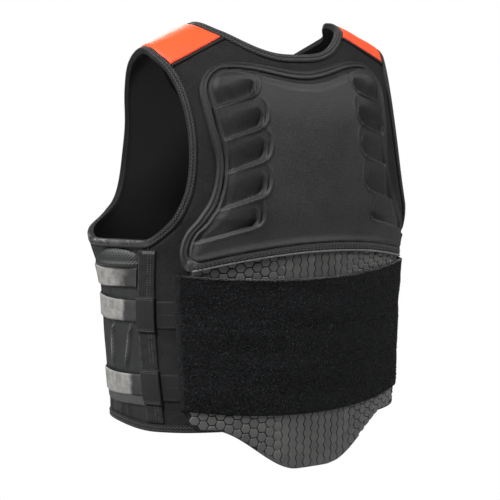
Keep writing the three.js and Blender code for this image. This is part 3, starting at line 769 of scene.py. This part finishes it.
def spread_share(share, level):
    """Share of the front panel's half girth, moved out below the crest, where the front neckline is wider."""
    neck = NECK_SHARE + NECK_SPREAD * smooth((COLUMN_RISE - level) / NECK_SPREAD_RUN)
    reach = np.abs(share)
    beyond = np.sign(share) * (1 - (1 - reach) * ((1 - neck) / (1 - NECK_SHARE)))
    return np.where(reach <= NECK_SHARE, share * (neck / NECK_SHARE), beyond)


def hem_lift(level, share):
    """Lift of a level below the armhole, where the hem rises from the back (0) to the front (1)."""
    return HEM_RISE * share * np.clip((ARMHOLE_FOOT - level) / (ARMHOLE_FOOT - HEM_LEVEL), 0, 1)


def panel_shares():
    turn = np.linspace(0, np.pi / 2, PANEL_COLUMNS[0])
    under_neck = NECK_SHARE * np.sin(turn) ** (2 / NECK_CURVE)
    strap = lerp(NECK_SHARE, 1, np.linspace(0, 1, PANEL_COLUMNS[1])[1:])
    half = np.concatenate([under_neck, strap])
    return np.concatenate([-half[:0:-1], half])


def padded_panel(face):
    name, edge, lowest = FACES[face]
    rows = np.unique(np.concatenate([np.linspace(*row) for row in PANEL_ROWS]))
    share, row = np.meshgrid(panel_shares(), rows)
    top = neckline_level(share, lowest)
    level = lerp(HEM_LEVEL, top, (row - HEM_LEVEL) / (COLUMN_RISE - HEM_LEVEL))
    from_neck = np.where(np.abs(share) < NECK_SHARE, top - level, np.inf)
    if face == 1:
        level = level + hem_lift(level, 1)
        share = spread_share(share, level)
    half = follow(edge, level)
    from_middle = share * half
    sewn = smooth(1 - np.minimum(half - np.abs(from_middle), from_neck) / SEWN_RUN)
    girth = from_middle if face == 0 else front_girth(-from_middle, level)
    outer = lerp(ripple(from_middle, level, PANEL_WAVES), -SEWN_DIP, sewn)
    piece = form(
        f"{name}_panel", "cloth", girth, level, outer, -PADDED_WALL, [KNIT, LINING], stride=3, lined=True)


# Stretch mesh sides

def side_seams(level):
    """Girths of a side panel's back and front seams."""
    return follow(BACK_EDGE, level), front_girth(follow(FRONT_EDGE, level), level)


def fold(girth, level, at, lean, width, height, low, high):
    """A narrow upright fold that fades out at its ends."""
    ends = smooth((level - low) / FOLD_FADE) * smooth((high - level) / FOLD_FADE)
    return height * ends * bell(girth - at - lean * (level - low), width)


def side_panel(hand, side):
    share, rise = unit_grid(91, 171)
    level = lerp(HEM_LEVEL, ARMHOLE_FOOT, rise)
    level = level + hem_lift(level, smooth(share))
    girth = lerp(*side_seams(level), share)
    aside = (girth - PUFF_GIRTH) / PUFF_HALF_GIRTH
    above = (level - PUFF_LEVEL) / PUFF_HALF_LEVEL
    dome = np.sqrt(np.clip(1 - aside**2 - above**2, 0, 1))
    puff = PUFF_HEIGHT * dome * smooth((level - PUFF_LEVEL) / 8 + 1)
    seams = smooth(to_end(share, 1) / 0.06)
    gather = ripple(girth, level, MESH_WAVES) * smooth((PUFF_LEVEL - level) / 10)
    folds = sum(fold(girth, level, *row) for row in SIDE_FOLDS)
    hollow = MESH_HOLLOW + MESH_TOP_HOLLOW * smooth((level - PUFF_LEVEL) / 6)
    outer = puff + (gather - hollow + folds) * seams
    piece = form(
        f"side_panel_{hand}", "mesh", girth, level, outer, outer - MESH_THICK, [MESH, LINING], side,
        stride=3, lined=True)


# Upper back pad

def pad_foot(girth):
    return PAD_FOOT_LEVEL - PAD_FOOT_DROP * (girth / PAD_FOOT_AT) ** 2


def pad_top(girth):
    return PAD_TOP_LEVEL + PAD_TOP_RISE * smooth(np.abs(girth) / PAD_TOP_AT)


def corner_cut(from_side, radius):
    inside = np.clip(radius - from_side, 0, radius)
    return radius - np.sqrt(radius**2 - inside**2)


def corner_distance(one, two, radius):
    """Distance inside two edges that meet in a rounded corner."""
    a, b = radius - one, radius - two
    return np.where((a > 0) & (b > 0), radius - np.hypot(a, b), np.minimum(one, two))


def soft_max(one, two, blend):
    return 0.5 * (one + two + np.sqrt((one - two) ** 2 + blend**2))


def recess(side, level, tip, at, tilt, radius, wall):
    """Share of a finger recess, and the height of the ridge along its lower edge. The recess is deepest along
    that edge and at its tip, and open on the outer side."""
    turn = math.radians(tilt)
    out = side - tip - radius
    up = level - at
    along = out * math.cos(turn) - up * math.sin(turn)
    across = up * math.cos(turn) + out * math.sin(turn)
    inside = radius - np.hypot(across, np.minimum(along, 0))
    lean = smooth(0.5 - across / (2 * radius))
    from_tip = along + radius
    fade = lerp(1.3, 0.6, smooth(from_tip / 60))
    ridge = FINGER_RIDGE * bell(inside + 1.0, 1.3) * lean * lerp(1.0, 0.2, smooth(from_tip / 42))
    return smooth(inside / wall) * lean * fade, ridge


def pad_distances(girth, level):
    """Distances inside the pad's side, top and foot."""
    step = 0.5
    side = np.abs(girth)
    slope = (follow(PAD_SIDE, level + step) - follow(PAD_SIDE, level - step)) / (2 * step)
    rise = (pad_top(side + step) - pad_top(side - step)) / (2 * step)
    from_side = (follow(PAD_SIDE, level) - side) / np.hypot(1, slope)
    from_top = (pad_top(girth) - level) / np.hypot(1, rise)
    return from_side, from_top, level - pad_foot(girth)


def pad_face(girth, level):
    """Depth of the pad's face, distance from its foot, and the share that is flange along the foot."""
    from_side, from_top, from_foot = pad_distances(girth, level)
    side = np.abs(girth)
    inside = np.minimum(
        corner_distance(from_side, from_top, PAD_TOP_CORNER),
        corner_distance(from_side, from_foot, PAD_FIELD_CORNER),
    )
    low = smooth((FLANGE_REACH - from_foot) / FLANGE_RUN)
    low = low * smooth((PLATE_HALF + FLANGE_PAST - side) / FLANGE_END)
    groove = lerp(PAD_GROOVE, PAD_FLANGE - 1.3, low)
    rim = lerp(PAD_BEAD, PAD_FLANGE, low)
    line = PAD_LINE * (1 - low) * bell(inside - 0.5 * PAD_RIM, 1.1)
    rim = lerp(0.5 + 0.8 * rim * low, rim - line, smooth(inside / 3.0))
    rim = lerp(groove, rim, smooth((PAD_RIM - inside) / 2.4))
    past = inside - PAD_RIM
    base = lerp(groove, PAD_GROOVE, smooth(past / 14))
    field = base + PAD_EDGE_RIDGE * (1 - low) * bell(past - 2.6, 1.5)
    for height, run in ((PAD_STEP, 2.2), (PAD_SHOULDER, 14), (PAD_DOME, 50)):
        field = field + height * smooth(past / run)
    cut = np.zeros_like(field)
    raised = np.zeros_like(field)
    for tip, at, tilt in FINGERS:
        deep, ridge = recess(side, level, tip, at, tilt, FINGER_RADIUS, FINGER_WALL)
        lip_at = at + LIP_RADIUS - FINGER_RADIUS
        lip, lip_ridge = recess(side, level, tip - LIP_OFFSET, lip_at, tilt, LIP_RADIUS, LIP_WALL)
        cut = np.maximum(cut, FINGER_DEPTH * deep + LIP_DEPTH * lip)
        raised = np.maximum(raised, np.maximum(ridge, 0.7 * lip_ridge))
    carved = soft_max(field + (raised - cut) * smooth(past / 8), base + 0.3, 1.8)
    return np.where(inside < PAD_RIM, rim, carved), from_foot, low


def upper_back_pad():
    share, rise = np.meshgrid(np.linspace(-1, 1, 371), np.linspace(0, 1, 221))
    top_half = follow(PAD_SIDE, PAD_TOP_LEVEL + PAD_TOP_RISE)
    foot_half = follow(PAD_SIDE, PAD_FOOT_LEVEL - PAD_FOOT_DROP)
    from_side = 1 - np.abs(share)
    top = pad_top(share * top_half) - corner_cut(from_side * top_half, PAD_TOP_CORNER)
    foot = pad_foot(share * foot_half) + corner_cut(from_side * foot_half, PAD_FOOT_CORNER)
    level = lerp(foot, top, rise)
    girth = share * follow(PAD_SIDE, level)
    face, from_foot, at_foot = pad_face(girth, level)
    over_plate = smooth((PLATE_TUCK + PAD_RIM - from_foot) / PAD_RIM)
    over_plate = over_plate * smooth((PLATE_HALF + 6 - np.abs(girth)) / 5)
    back = PAD_BACK + over_plate * PAD_LIFT
    face = np.maximum(face, back + 0.4)
    flange = (from_foot[:-1, :-1] < PAD_RIM - 1.5) & (at_foot[:-1, :-1] > 0.3)
    piece = form(
        "upper_back_pad", "pad", girth, level, face, back, [PAD_KNIT, FLANGE],
        stride=14, zones=flange.astype(int))


def ring_section(across, depth, radius, count=10):
    turn = np.linspace(0, 2 * np.pi, count, endpoint=False)
    return np.stack([across + radius * np.cos(turn), depth + radius * np.sin(turn)], axis=1)


def pad_piping():
    girth = np.linspace(-FOOT_REACH, FOOT_REACH, 260)
    foot = pad_foot(girth)
    off = np.tile([0.0, -1.0], (len(girth), 1))
    section = ring_section(0.2, PIPING_DEPTH, PIPING_RADIUS)
    swept("upper_back_pad_piping", girth, foot, off, section, [PIPING], closed=False)
    row = stitch_row(girth, foot + PAD_RIM - 2.6, PAD_FLANGE - 0.6, PAD_STITCH)
    sew("upper_back_pad_stitches", [row], PAD_STITCH, THREAD)
    rows = [stitch_row(girth, foot + lift, PAD_FLANGE - 0.2, BUMP_STITCH) for lift in BUMP_LIFTS]
    sew("upper_back_pad_bumps", rows, BUMP_STITCH, FLANGE_BUMP)


# Back plate

def spaced(edge, fine, coarse):
    """Steps from 0 to 1 that are fine near both ends."""
    near = np.arange(0, edge, fine)
    middle = np.linspace(edge, 1 - edge, int((1 - 2 * edge) / coarse) + 1)
    return np.concatenate([near, middle, 1 - near[::-1]])


def plate_foot(girth):
    tail = PLATE_TAIL * smooth((PLATE_FOOT_HALF - np.abs(girth)) / PLATE_FLANK)
    return PLATE_FOOT_LEVEL - tail + corner_cut(PLATE_HALF - np.abs(girth), PLATE_CORNER)


def plate_top(girth):
    return pad_foot(girth) + PLATE_TUCK


def back_plate():
    girth, rise = np.meshgrid(np.linspace(-PLATE_HALF, PLATE_HALF, 181), spaced(0.05, 0.005, 0.02))
    foot, top = plate_foot(girth), plate_top(girth)
    level = lerp(foot, top, rise)
    edge = np.minimum(np.minimum(level - foot, top - level), PLATE_HALF - np.abs(girth))
    outer = lerp(PLATE_EDGE, PLATE_FACE, rounded(edge, 2.0, 0.02))
    form("back_plate", "plate", girth, level, outer, 0.3, [PLATE_GROUND], stride=6)


def cell_ring(middle, at, inset):
    """Girths and levels of a cell's corners, inset and kept inside the plate's outline."""
    corner = np.radians(np.arange(6) * 60)
    apart = smooth((abs(middle) - CELL_OPEN_GIRTH) / CELL_OPEN_RUN)
    reach = PLATE_HALF - inset - 1
    girth = np.clip(middle + (CELL_RADIUS - inset) * np.cos(corner), -reach, reach)
    level = at + (CELL_RADIUS - inset * apart) * np.sin(corner)
    level = np.maximum(level, plate_foot(girth) + 1.0 + inset)
    return girth, np.minimum(level, plate_top(girth) - 0.6 - inset)


def plate_cells():
    points, faces = [], []
    for column in CELL_COLUMNS:
        for row in CELL_ROWS:
            middle = column * 1.5 * CELL_RADIUS
            at = (row + 0.5 * (column % 2)) * math.sqrt(3) * CELL_RADIUS
            rings = [(*cell_ring(middle, at, inset), depth) for inset, depth in CELL_RINGS]
            girth, level, _ = rings[1]
            area = 0.5 * abs(np.dot(girth, np.roll(level, 1)) - np.dot(level, np.roll(girth, 1)))
            if area < CELL_LEAST:
                continue
            start = len(points)
            for ring in rings:
                points.extend(wall_point(*ring))
            last, centre = len(points) - 6, len(points)
            girth, level, _ = rings[-1]
            points.extend(wall_point([np.mean(girth)], [np.mean(level)], CELL_MIDDLE))
            for k in range(6):
                step = (k + 1) % 6
                for here in range(start, last, 6):
                    faces.append([here + k, here + step, here + 6 + step, here + 6 + k])
                faces.append([last + k, last + step, centre])
            faces.append([start + k for k in range(5, -1, -1)])
    make("back_plate_cells", points, faces, [PLATE], sharp=60)


# Waist band

def band_half(level):
    return BAND_HALF + BAND_TAPER * (level - BAND_TOP_LEVEL)


def band_spot(share, rise):
    level = lerp(BAND_FOOT_LEVEL + BAND_FOOT_RISE * share**2, BAND_TOP_LEVEL + BAND_TOP_RISE * share**2, rise)
    half = band_half(level)
    girth = share * half
    on_plate = smooth((half - np.abs(girth)) / BAND_END)
    return girth, level, BAND_BASE + on_plate * BAND_LIFT, ripple(girth, level, BAND_WAVES) * on_plate


def waist_band():
    share, rise = np.meshgrid(2 * spaced(0.06, 0.006, 0.009) - 1, spaced(0.04, 0.008, 0.012))
    girth, level, inner, wavy = band_spot(share, rise)
    from_edge = np.minimum(to_end(rise, BAND_TOP_LEVEL - BAND_FOOT_LEVEL), (1 - np.abs(share)) * BAND_HALF)
    seams = sum(bell(level - at - BAND_FOOT_RISE * share**2, SEAM_WIDTH) for at in BAND_SEAMS)
    outer = inner + (BAND_THICK + wavy - SEAM_DIP * seams) * rounded(from_edge, 1.6, 0.03)
    piece = form("waist_band", "pile", girth, level, outer, inner, [PILE_GROUND], stride=6)


def loop_shape():
    """A small standing loop of pile: a bent ribbon with a front and a back."""
    arch = [(-0.5, 0.0), (-0.3, 0.85), (0.3, 1.0), (0.5, 0.0)]
    points = [(x, y, z) for x, z in arch for y in (-0.16, 0.16)]
    faces = [[2 * k, 2 * k + 1, 2 * k + 3, 2 * k + 2] for k in range(3)]
    faces.append([0, 2, 4, 6, 7, 5, 3, 1])
    return points, faces


def pile_loops(name, origin, up, across, width, height, looks, picks=None):
    frames = (origin, across * width, np.cross(up, across), up * height)
    many(name, loop_shape(), frames, looks, picks)


def band_pile(count=LOOP_COUNT):
    share, rise = DRAWS.uniform(-0.995, 0.995, count), DRAWS.uniform(0.006, 0.994, count)
    girth, level, inner, wavy = band_spot(share, rise)
    origin = wall_point(girth, level, inner + BAND_THICK + wavy - 0.35)
    up = unit(outward(girth, level) + DRAWS.normal(0, 0.35, (count, 3)))
    across = unit(np.cross(up, DRAWS.normal(0, 1, (count, 3))))
    width = DRAWS.uniform(0.9, 1.6, (count, 1))
    height = DRAWS.uniform(0.7, 1.3, (count, 1))
    tone = np.digitize(DRAWS.uniform(0, 1, count), [0.5, 0.82])
    pile_loops("waist_band_pile", origin, up, across, width, height, [PILE_DARK, PILE_MID, PILE_LIT], tone)


def band_fringe(count=FRINGE_COUNT):
    """Cut ends of the pile along the band's top edge."""
    share = DRAWS.uniform(-0.95, 0.95, count)
    girth, level, inner, wavy = band_spot(share, DRAWS.uniform(0.985, 0.999, count))
    normal = outward(girth, level)
    lie = unit(np.array([0, 0, 1]) + 0.5 * normal + DRAWS.normal(0, 0.5, (count, 3)))
    origin = wall_point(girth, level, inner + wavy + DRAWS.uniform(0.4, BAND_THICK + 0.3, count))
    height = DRAWS.uniform(0.8, 2.4, (count, 1))
    pile_loops("waist_band_fringe", origin, lie, unit(np.cross(lie, normal)), 0.7, height, [PILE_EDGE])


# Bindings

def softened(line, times):
    for _ in range(times):
        line[1:-1] = 0.25 * line[:-2] + 0.5 * line[1:-1] + 0.25 * line[2:]
    return line


def evened(girth, level, step, soften):
    """Stations at even steps along a line, softened, with the direction off its left side."""
    line = np.stack([girth, level], axis=1)
    run = run_along(line)
    line = softened(picked(line, run, np.linspace(0, run[-1], int(run[-1] / step) + 1)), soften)
    ahead = softened(np.gradient(line, axis=0), soften)
    return line[:, 0], line[:, 1], unit(np.stack([-ahead[:, 1], ahead[:, 0]], axis=1))


def binding_section(steps=5):
    """Rounded bar round the sewn edge, from its proud corner on the open side."""
    turn = np.linspace(0, np.pi / 2, steps)
    low, high = BINDING_LOW + BINDING_RADIUS, BINDING_HIGH - BINDING_RADIUS
    deep, proud = BINDING_DEEP + BINDING_RADIUS, BINDING_PROUD - BINDING_RADIUS
    spots = []
    for across, depth, start in ((high, proud, 0.0), (low, proud, 0.5), (low, deep, 1.0), (high, deep, -0.5)):
        angle = start * np.pi + turn
        spots.append(np.stack([np.cos(angle), np.sin(angle)], axis=1) * BINDING_RADIUS + (across, depth))
    return np.concatenate(spots)


def moved(line, across, side):
    """A line moved off its left side."""
    girth, level, off = line
    return side * (girth + off[:, 0] * across), level + off[:, 1] * across


def bind(node, lines, look=BINDING, side=1):
    """Binding along joined lines, each (girth, level, off), with two rows of zigzag cover stitches."""
    girth, level, off = (np.concatenate(v) for v in zip(*lines))
    stand_for(node, swept(f"{node}_form", girth, level, off, binding_section(), [look], side))
    rows = []
    for line in lines:
        for low, high in BINDING_ROWS:
            one, two = moved(line, low, side), moved(line, high, side)
            left, right = (wall_point(*spots, BINDING_PROUD + 0.1) for spots in (one, two))
            rows.append(zigzag_row(left, right, outward(*one), BINDING_STITCH))
    sew(f"{node}_stitches", rows, BINDING_STITCH, THREAD)


def armhole_binding(hand, side):
    down = np.linspace(COLUMN_RISE, ARMHOLE_FOOT, 240)
    across = np.linspace(*side_seams(ARMHOLE_FOOT), 60)[1:-1]
    girth = np.concatenate([follow(BACK_EDGE, down), across, side_seams(down[::-1])[1]])
    level = np.concatenate([down, np.full(len(across), ARMHOLE_FOOT), down[::-1]])
    bind(f"armhole_binding_{hand}", [evened(girth, level, 3.0, 10)], ARMHOLE_TAPE, side)


def neck_binding():
    turn = np.linspace(-np.pi / 2, np.pi / 2, 200)
    share = np.sign(turn) * NECK_SHARE * np.abs(np.sin(turn)) ** (2 / NECK_CURVE)
    level = neckline_level(share, BACK_NECK_LEVEL)
    back = evened(share * follow(BACK_EDGE, level), level, 3.0, 4)
    level = neckline_level(share, FRONT_NECK_LEVEL)
    from_front = spread_share(-share, level) * follow(FRONT_EDGE, level)
    bind("neck_binding", [back, evened(front_girth(from_front, level), level, 3.0, 4)])


def hem_binding():
    half = half_girth(HEM_LEVEL)
    girth = np.linspace(half, -half, 420)[:-1]
    back, front = side_seams(HEM_LEVEL)
    level = HEM_LEVEL + HEM_RISE * smooth((np.abs(girth) - back) / (front - back))
    bind("hem_binding", [evened(girth, level, 3.4, 0)])


# Shoulder patches and tapes

def patch_edge(from_middle):
    return PATCH_LEVEL - PATCH_FALL * (from_middle - PATCH_MIDDLE)


def strap_spot(face, across, level_at):
    """Spot across a shoulder strap between its bindings, at a level that depends on the girth."""
    _, edge, lowest = FACES[face]

    def span(level):
        outer = follow(edge, level)
        neck = neckline_share(level, lowest)
        inner = outer * (neck if face == 0 else spread_share(neck, level))
        return lerp(inner + PATCH_INSET, outer - PATCH_INSET, across)

    level = level_at(span(np.full_like(across, PATCH_LEVEL)))
    from_middle = span(level)
    return (from_middle if face == 0 else front_girth(from_middle, level)), level


def shoulder_patch(hand, side):
    across, climb = unit_grid(41, 41)

    def level_at(middle):
        return lerp(patch_edge(middle), COLUMN_RISE, climb)

    def over(one, two):
        return np.concatenate([one, two[-2::-1]])

    girth, level = (over(*both) for both in zip(*(strap_spot(face, across, level_at) for face in (0, 1))))
    across, rise = over(across, across), over(climb, 2 - climb)
    from_edge = np.minimum(to_end(across, PATCH_WIDE), np.minimum(rise, 2 - rise) * PATCH_HIGH)
    outer = 0.6 + PATCH_THICK * rounded(from_edge, 2.2, 0.04)
    outer = outer + ripple(across * 60, rise * PATCH_HIGH, PATCH_WAVES)
    piece = form(f"shoulder_patch_{hand}", "patch", girth, level, outer, 0.1, [ORANGE], side, stride=4)


def shoulder_tape(face, hand, side):
    node = f"shoulder_tape_{FACES[face][0]}_{hand}"
    across, rise = unit_grid(31, 9)
    girth, level = strap_spot(face, across, lambda middle: patch_edge(middle) - 0.4 - (1 - rise) * TAPE_WIDTH)
    outer = 0.4 + TAPE_THICK * rounded(to_end(rise, TAPE_WIDTH), 1.6, 0.05)
    form(node, "binding", girth, level, outer, 0.1, [BINDING], side)
    # Overcast stitches bite from the tape into the patch
    across = np.linspace(0.02, 0.98, 24)
    girth, level = strap_spot(face, across, lambda middle: patch_edge(middle) - 3.4)
    to_girth, to_level = strap_spot(face, across, lambda middle: patch_edge(middle) + 1.7)
    start, end = wall_point(side * girth, level, 2.5), wall_point(side * to_girth, to_level, 2.3)
    row = start, end, outward(side * girth, level)
    sew(f"{node}_stitches", [row], OVERCAST_STITCH, BINDING)


# Side trim, straps, tabs and anchors

def trim_edge(level, way):
    return follow(BACK_EDGE, level) + way * TRIM_HALF


def webbed(base, thick, edge):
    """Outer depth of a flat strip with rounded edges."""
    return base + thick * rounded(edge, 1.2, 0.05)


def side_trim(hand, side):
    node = f"side_trim_{hand}"
    low, high = HEM_LEVEL + TRIM_END, ARMHOLE_FOOT - TRIM_END
    way, level = np.meshgrid(np.linspace(-1, 1, 25), np.linspace(low, high, 120))
    girth = trim_edge(level, way)
    edge = np.minimum((1 - np.abs(way)) * TRIM_HALF, np.minimum(level - low, high - level))
    outer = webbed(WEBBING_BASE, TRIM_THICK + ripple(girth, level, TRIM_WAVES), edge)
    form(node, "binding", girth, level, outer, WEBBING_BASE, [TRIM], side)
    level = np.linspace(HEM_LEVEL + 6, ARMHOLE_FOOT - 5, 300)
    rows = [stitch_row(side * trim_edge(level, way), level, 2.1, TRIM_STITCH) for way in TRIM_ROWS]
    sew(f"{node}_stitches", rows, TRIM_STITCH, THREAD_LIT)
    girth = side * np.linspace(trim_edge(TACK_LEVEL, TACK_FROM), trim_edge(TACK_LEVEL, TACK_TO), 30)
    foot, top = (wall_point(girth, TACK_LEVEL + reach, 2.4) for reach in (-TACK_HALF, TACK_HALF))
    row = zigzag_row(foot, top, outward(girth, TACK_LEVEL), TACK_STITCH)
    sew(f"{node}_tacks", [row], TACK_STITCH, THREAD_PALE)


def side_strap(place, top, width, lean, hand, side):
    node = f"side_strap_{place}_{hand}"
    along, row = unit_grid(101, 19)
    tucked = 0 if place == "upper" else STRAP_TUCK

    def spot(top, width, lean, reach):
        level = top - (1 - row) * width + lean * (1 - along) + ripple(along, row, STRAP_WAVES)
        girth = lerp(trim_edge(level, 1) + 1 - tucked, front_girth(reach, level), along)
        return girth, level, to_end(row, width)

    girth, level, edge = spot(top, width, lean, STRAP_FRONT_GIRTH)
    base = STRAP_BASE + STRAP_BOW * np.sin(np.pi * along) ** 2
    form(node, "strap", girth, level, webbed(base, STRAP_THICK, edge), base, [STRAP_LOOKS[place]], side)
    if place == "lower":
        girth, level, edge = spot(top - width + UNDER_LAP, UNDER_WIDTH, lean - 3, STRAP_FRONT_GIRTH + 6)
        base = base - 1.2
        outer = webbed(base, UNDER_THICK, edge)
        slab(f"{node}_layer", girth, level, outer, base, [STRAP_UNDER], side)


def strap_tab(place, top, height, hand, side):
    node = f"strap_tab_{place}_{hand}"
    across, row = unit_grid(25, 41)
    level = top - (1 - row) * height
    girth = lerp(trim_edge(level, -1) - 0.5, trim_edge(level, 1) + 0.5, across)
    edge = np.minimum(to_end(row, height), to_end(across, TAB_WIDE))
    lift = TAB_BASE + TAB_ARCH * np.sin(np.pi * row) ** 0.6
    form(node, "webbing", girth, level, webbed(lift, TAB_THICK, edge), lift, [WEBBING], side)
    rows = []
    for at in [top - drop for drop in TAB_ROWS] + [top - height + drop for drop in TAB_ROWS[::-1]]:
        girth = np.linspace(trim_edge(at, -1) + 1, trim_edge(at, 1), 30)
        rows.append(stitch_row(side * girth, at, 4.9, TAB_STITCH))
    sew(f"{node}_stitches", rows, TAB_STITCH, THREAD_LIT)


def strap_anchor(place, top, height, hand, side):
    node = f"strap_anchor_{place}_{hand}"
    top, height = top - ANCHOR_INSET, height - 2 * ANCHOR_INSET
    across, row = unit_grid(17, 25)
    level = top - (1 - row) * height
    girth = lerp(band_half(level) - 1.5, trim_edge(level, -1) - 0.4, across)
    outer = webbed(WEBBING_BASE, ANCHOR_THICK, to_end(row, height))
    form(node, "webbing", girth, level, outer, WEBBING_BASE, [WEBBING], side)
    rows = []
    for at in (top - 2.2, top - 0.5 * height, top - height + 2.2):
        girth = np.linspace(band_half(at) + 1, trim_edge(at, -1) - 2, 20)
        rows.append(stitch_row(side * girth, at, 1.35, ANCHOR_STITCH))
    sew(f"{node}_stitches", rows, ANCHOR_STITCH, THREAD)


padded_panel(0)
padded_panel(1)
upper_back_pad()
pad_piping()
back_plate()
plate_cells()
waist_band()
band_pile()
band_fringe()
neck_binding()
hem_binding()
for hand, side in (("left", 1), ("right", -1)):
    side_panel(hand, side)
    armhole_binding(hand, side)
    shoulder_patch(hand, side)
    shoulder_tape(0, hand, side)
    shoulder_tape(1, hand, side)
    side_trim(hand, side)
    for place, top, width, lean, tab_top, tab_height in STRAPS:
        side_strap(place, top, width, lean, hand, side)
        if tab_top is not None:
            strap_tab(place, tab_top, tab_height, hand, side)
            strap_anchor(place, tab_top, tab_height, hand, side)


# Stage, light and camera, in metres

FLOOR_Z, FLOOR_REACH, FLOOR_TONE = -0.78, 40, 0.4
FILL = 0.15
CAMERA_AZIMUTH, CAMERA_ELEVATION, CAMERA_DISTANCE = 145, 6, 2.5
CAMERA_LENS, CAMERA_SENSOR = 135.3, 36
TARGET = Vector((0, -0.015, -0.277))
TARGET_SHIFT = 0.008
# Area lights: name, azimuth from the camera's, elevation, distance, size, power
LIGHTS = [
    ("key", -42, 46, 2.2, 0.4, 112),
    ("side", -80, 22, 2.0, 0.4, 36),
    ("rim", 75, 46, 2.0, 0.6, 64),
    ("front", 190, 30, 2.4, 1.0, 48),
]


def seen_or_lit(tree, seen, lit, output):
    """Shows one shader to the camera and lights the part with another."""
    mix = tree.nodes.new("ShaderNodeMixShader")
    tree.links.new(tree.nodes.new("ShaderNodeLightPath").outputs["Is Camera Ray"], mix.inputs[0])
    tree.links.new(lit.outputs[0], mix.inputs[1])
    tree.links.new(seen.outputs[0], mix.inputs[2])
    tree.links.new(mix.outputs[0], tree.nodes[output].inputs["Surface"])


def floor():
    mesh = bpy.data.meshes.new("floor")
    corners = [(x * FLOOR_REACH, y * FLOOR_REACH, FLOOR_Z) for x, y in ((-1, -1), (1, -1), (1, 1), (-1, 1))]
    mesh.from_pydata(corners, [], [(0, 1, 2, 3)])
    look = bpy.data.materials.new("floor_paper")
    look.use_nodes = True
    tree = look.node_tree
    paper = tree.nodes["Principled BSDF"]
    paper.inputs["Base Color"].default_value = grey(FLOOR_TONE)
    paper.inputs["Roughness"].default_value = 0.9
    seen_or_lit(tree, tree.nodes.new("ShaderNodeEmission"), paper, "Material Output")
    mesh.materials.append(look)
    placed("floor", mesh)


def aimed(name, data, azimuth, elevation, distance, shift=0.0):
    """Object that looks at the target from a distance, moved to its own left by a shift."""
    a, e = math.radians(azimuth), math.radians(elevation)
    back = Vector((math.sin(a) * math.cos(e), -math.cos(a) * math.cos(e), math.sin(e)))
    right = Vector((math.cos(a), math.sin(a), 0))
    piece = placed(name, data)
    piece.location = TARGET - right * shift + back * distance
    piece.rotation_mode = "QUATERNION"
    piece.rotation_quaternion = (-back).to_track_quat("-Z", "Y")
    return piece


def camera():
    data = bpy.data.cameras.new("camera")
    data.sensor_width = CAMERA_SENSOR
    data.lens = CAMERA_LENS
    piece = aimed("camera", data, CAMERA_AZIMUTH, CAMERA_ELEVATION, CAMERA_DISTANCE, TARGET_SHIFT)
    bpy.context.scene.camera = piece


def studio():
    world = bpy.data.worlds.new("studio")
    world.use_nodes = True
    tree = world.node_tree
    backdrop = tree.nodes["Background"]
    fill = tree.nodes.new("ShaderNodeBackground")
    for shader in (backdrop, fill):
        shader.inputs["Color"].default_value = grey(1)
    fill.inputs["Strength"].default_value = FILL
    seen_or_lit(tree, backdrop, fill, "World Output")
    bpy.context.scene.world = world
    for name, turn, elevation, distance, size, power in LIGHTS:
        data = bpy.data.lights.new(name, "AREA")
        data.size = size
        data.energy = power
        aimed(name, data, CAMERA_AZIMUTH + turn, elevation, distance)
    bpy.context.scene.view_settings.view_transform = "Standard"


floor()
studio()
camera()
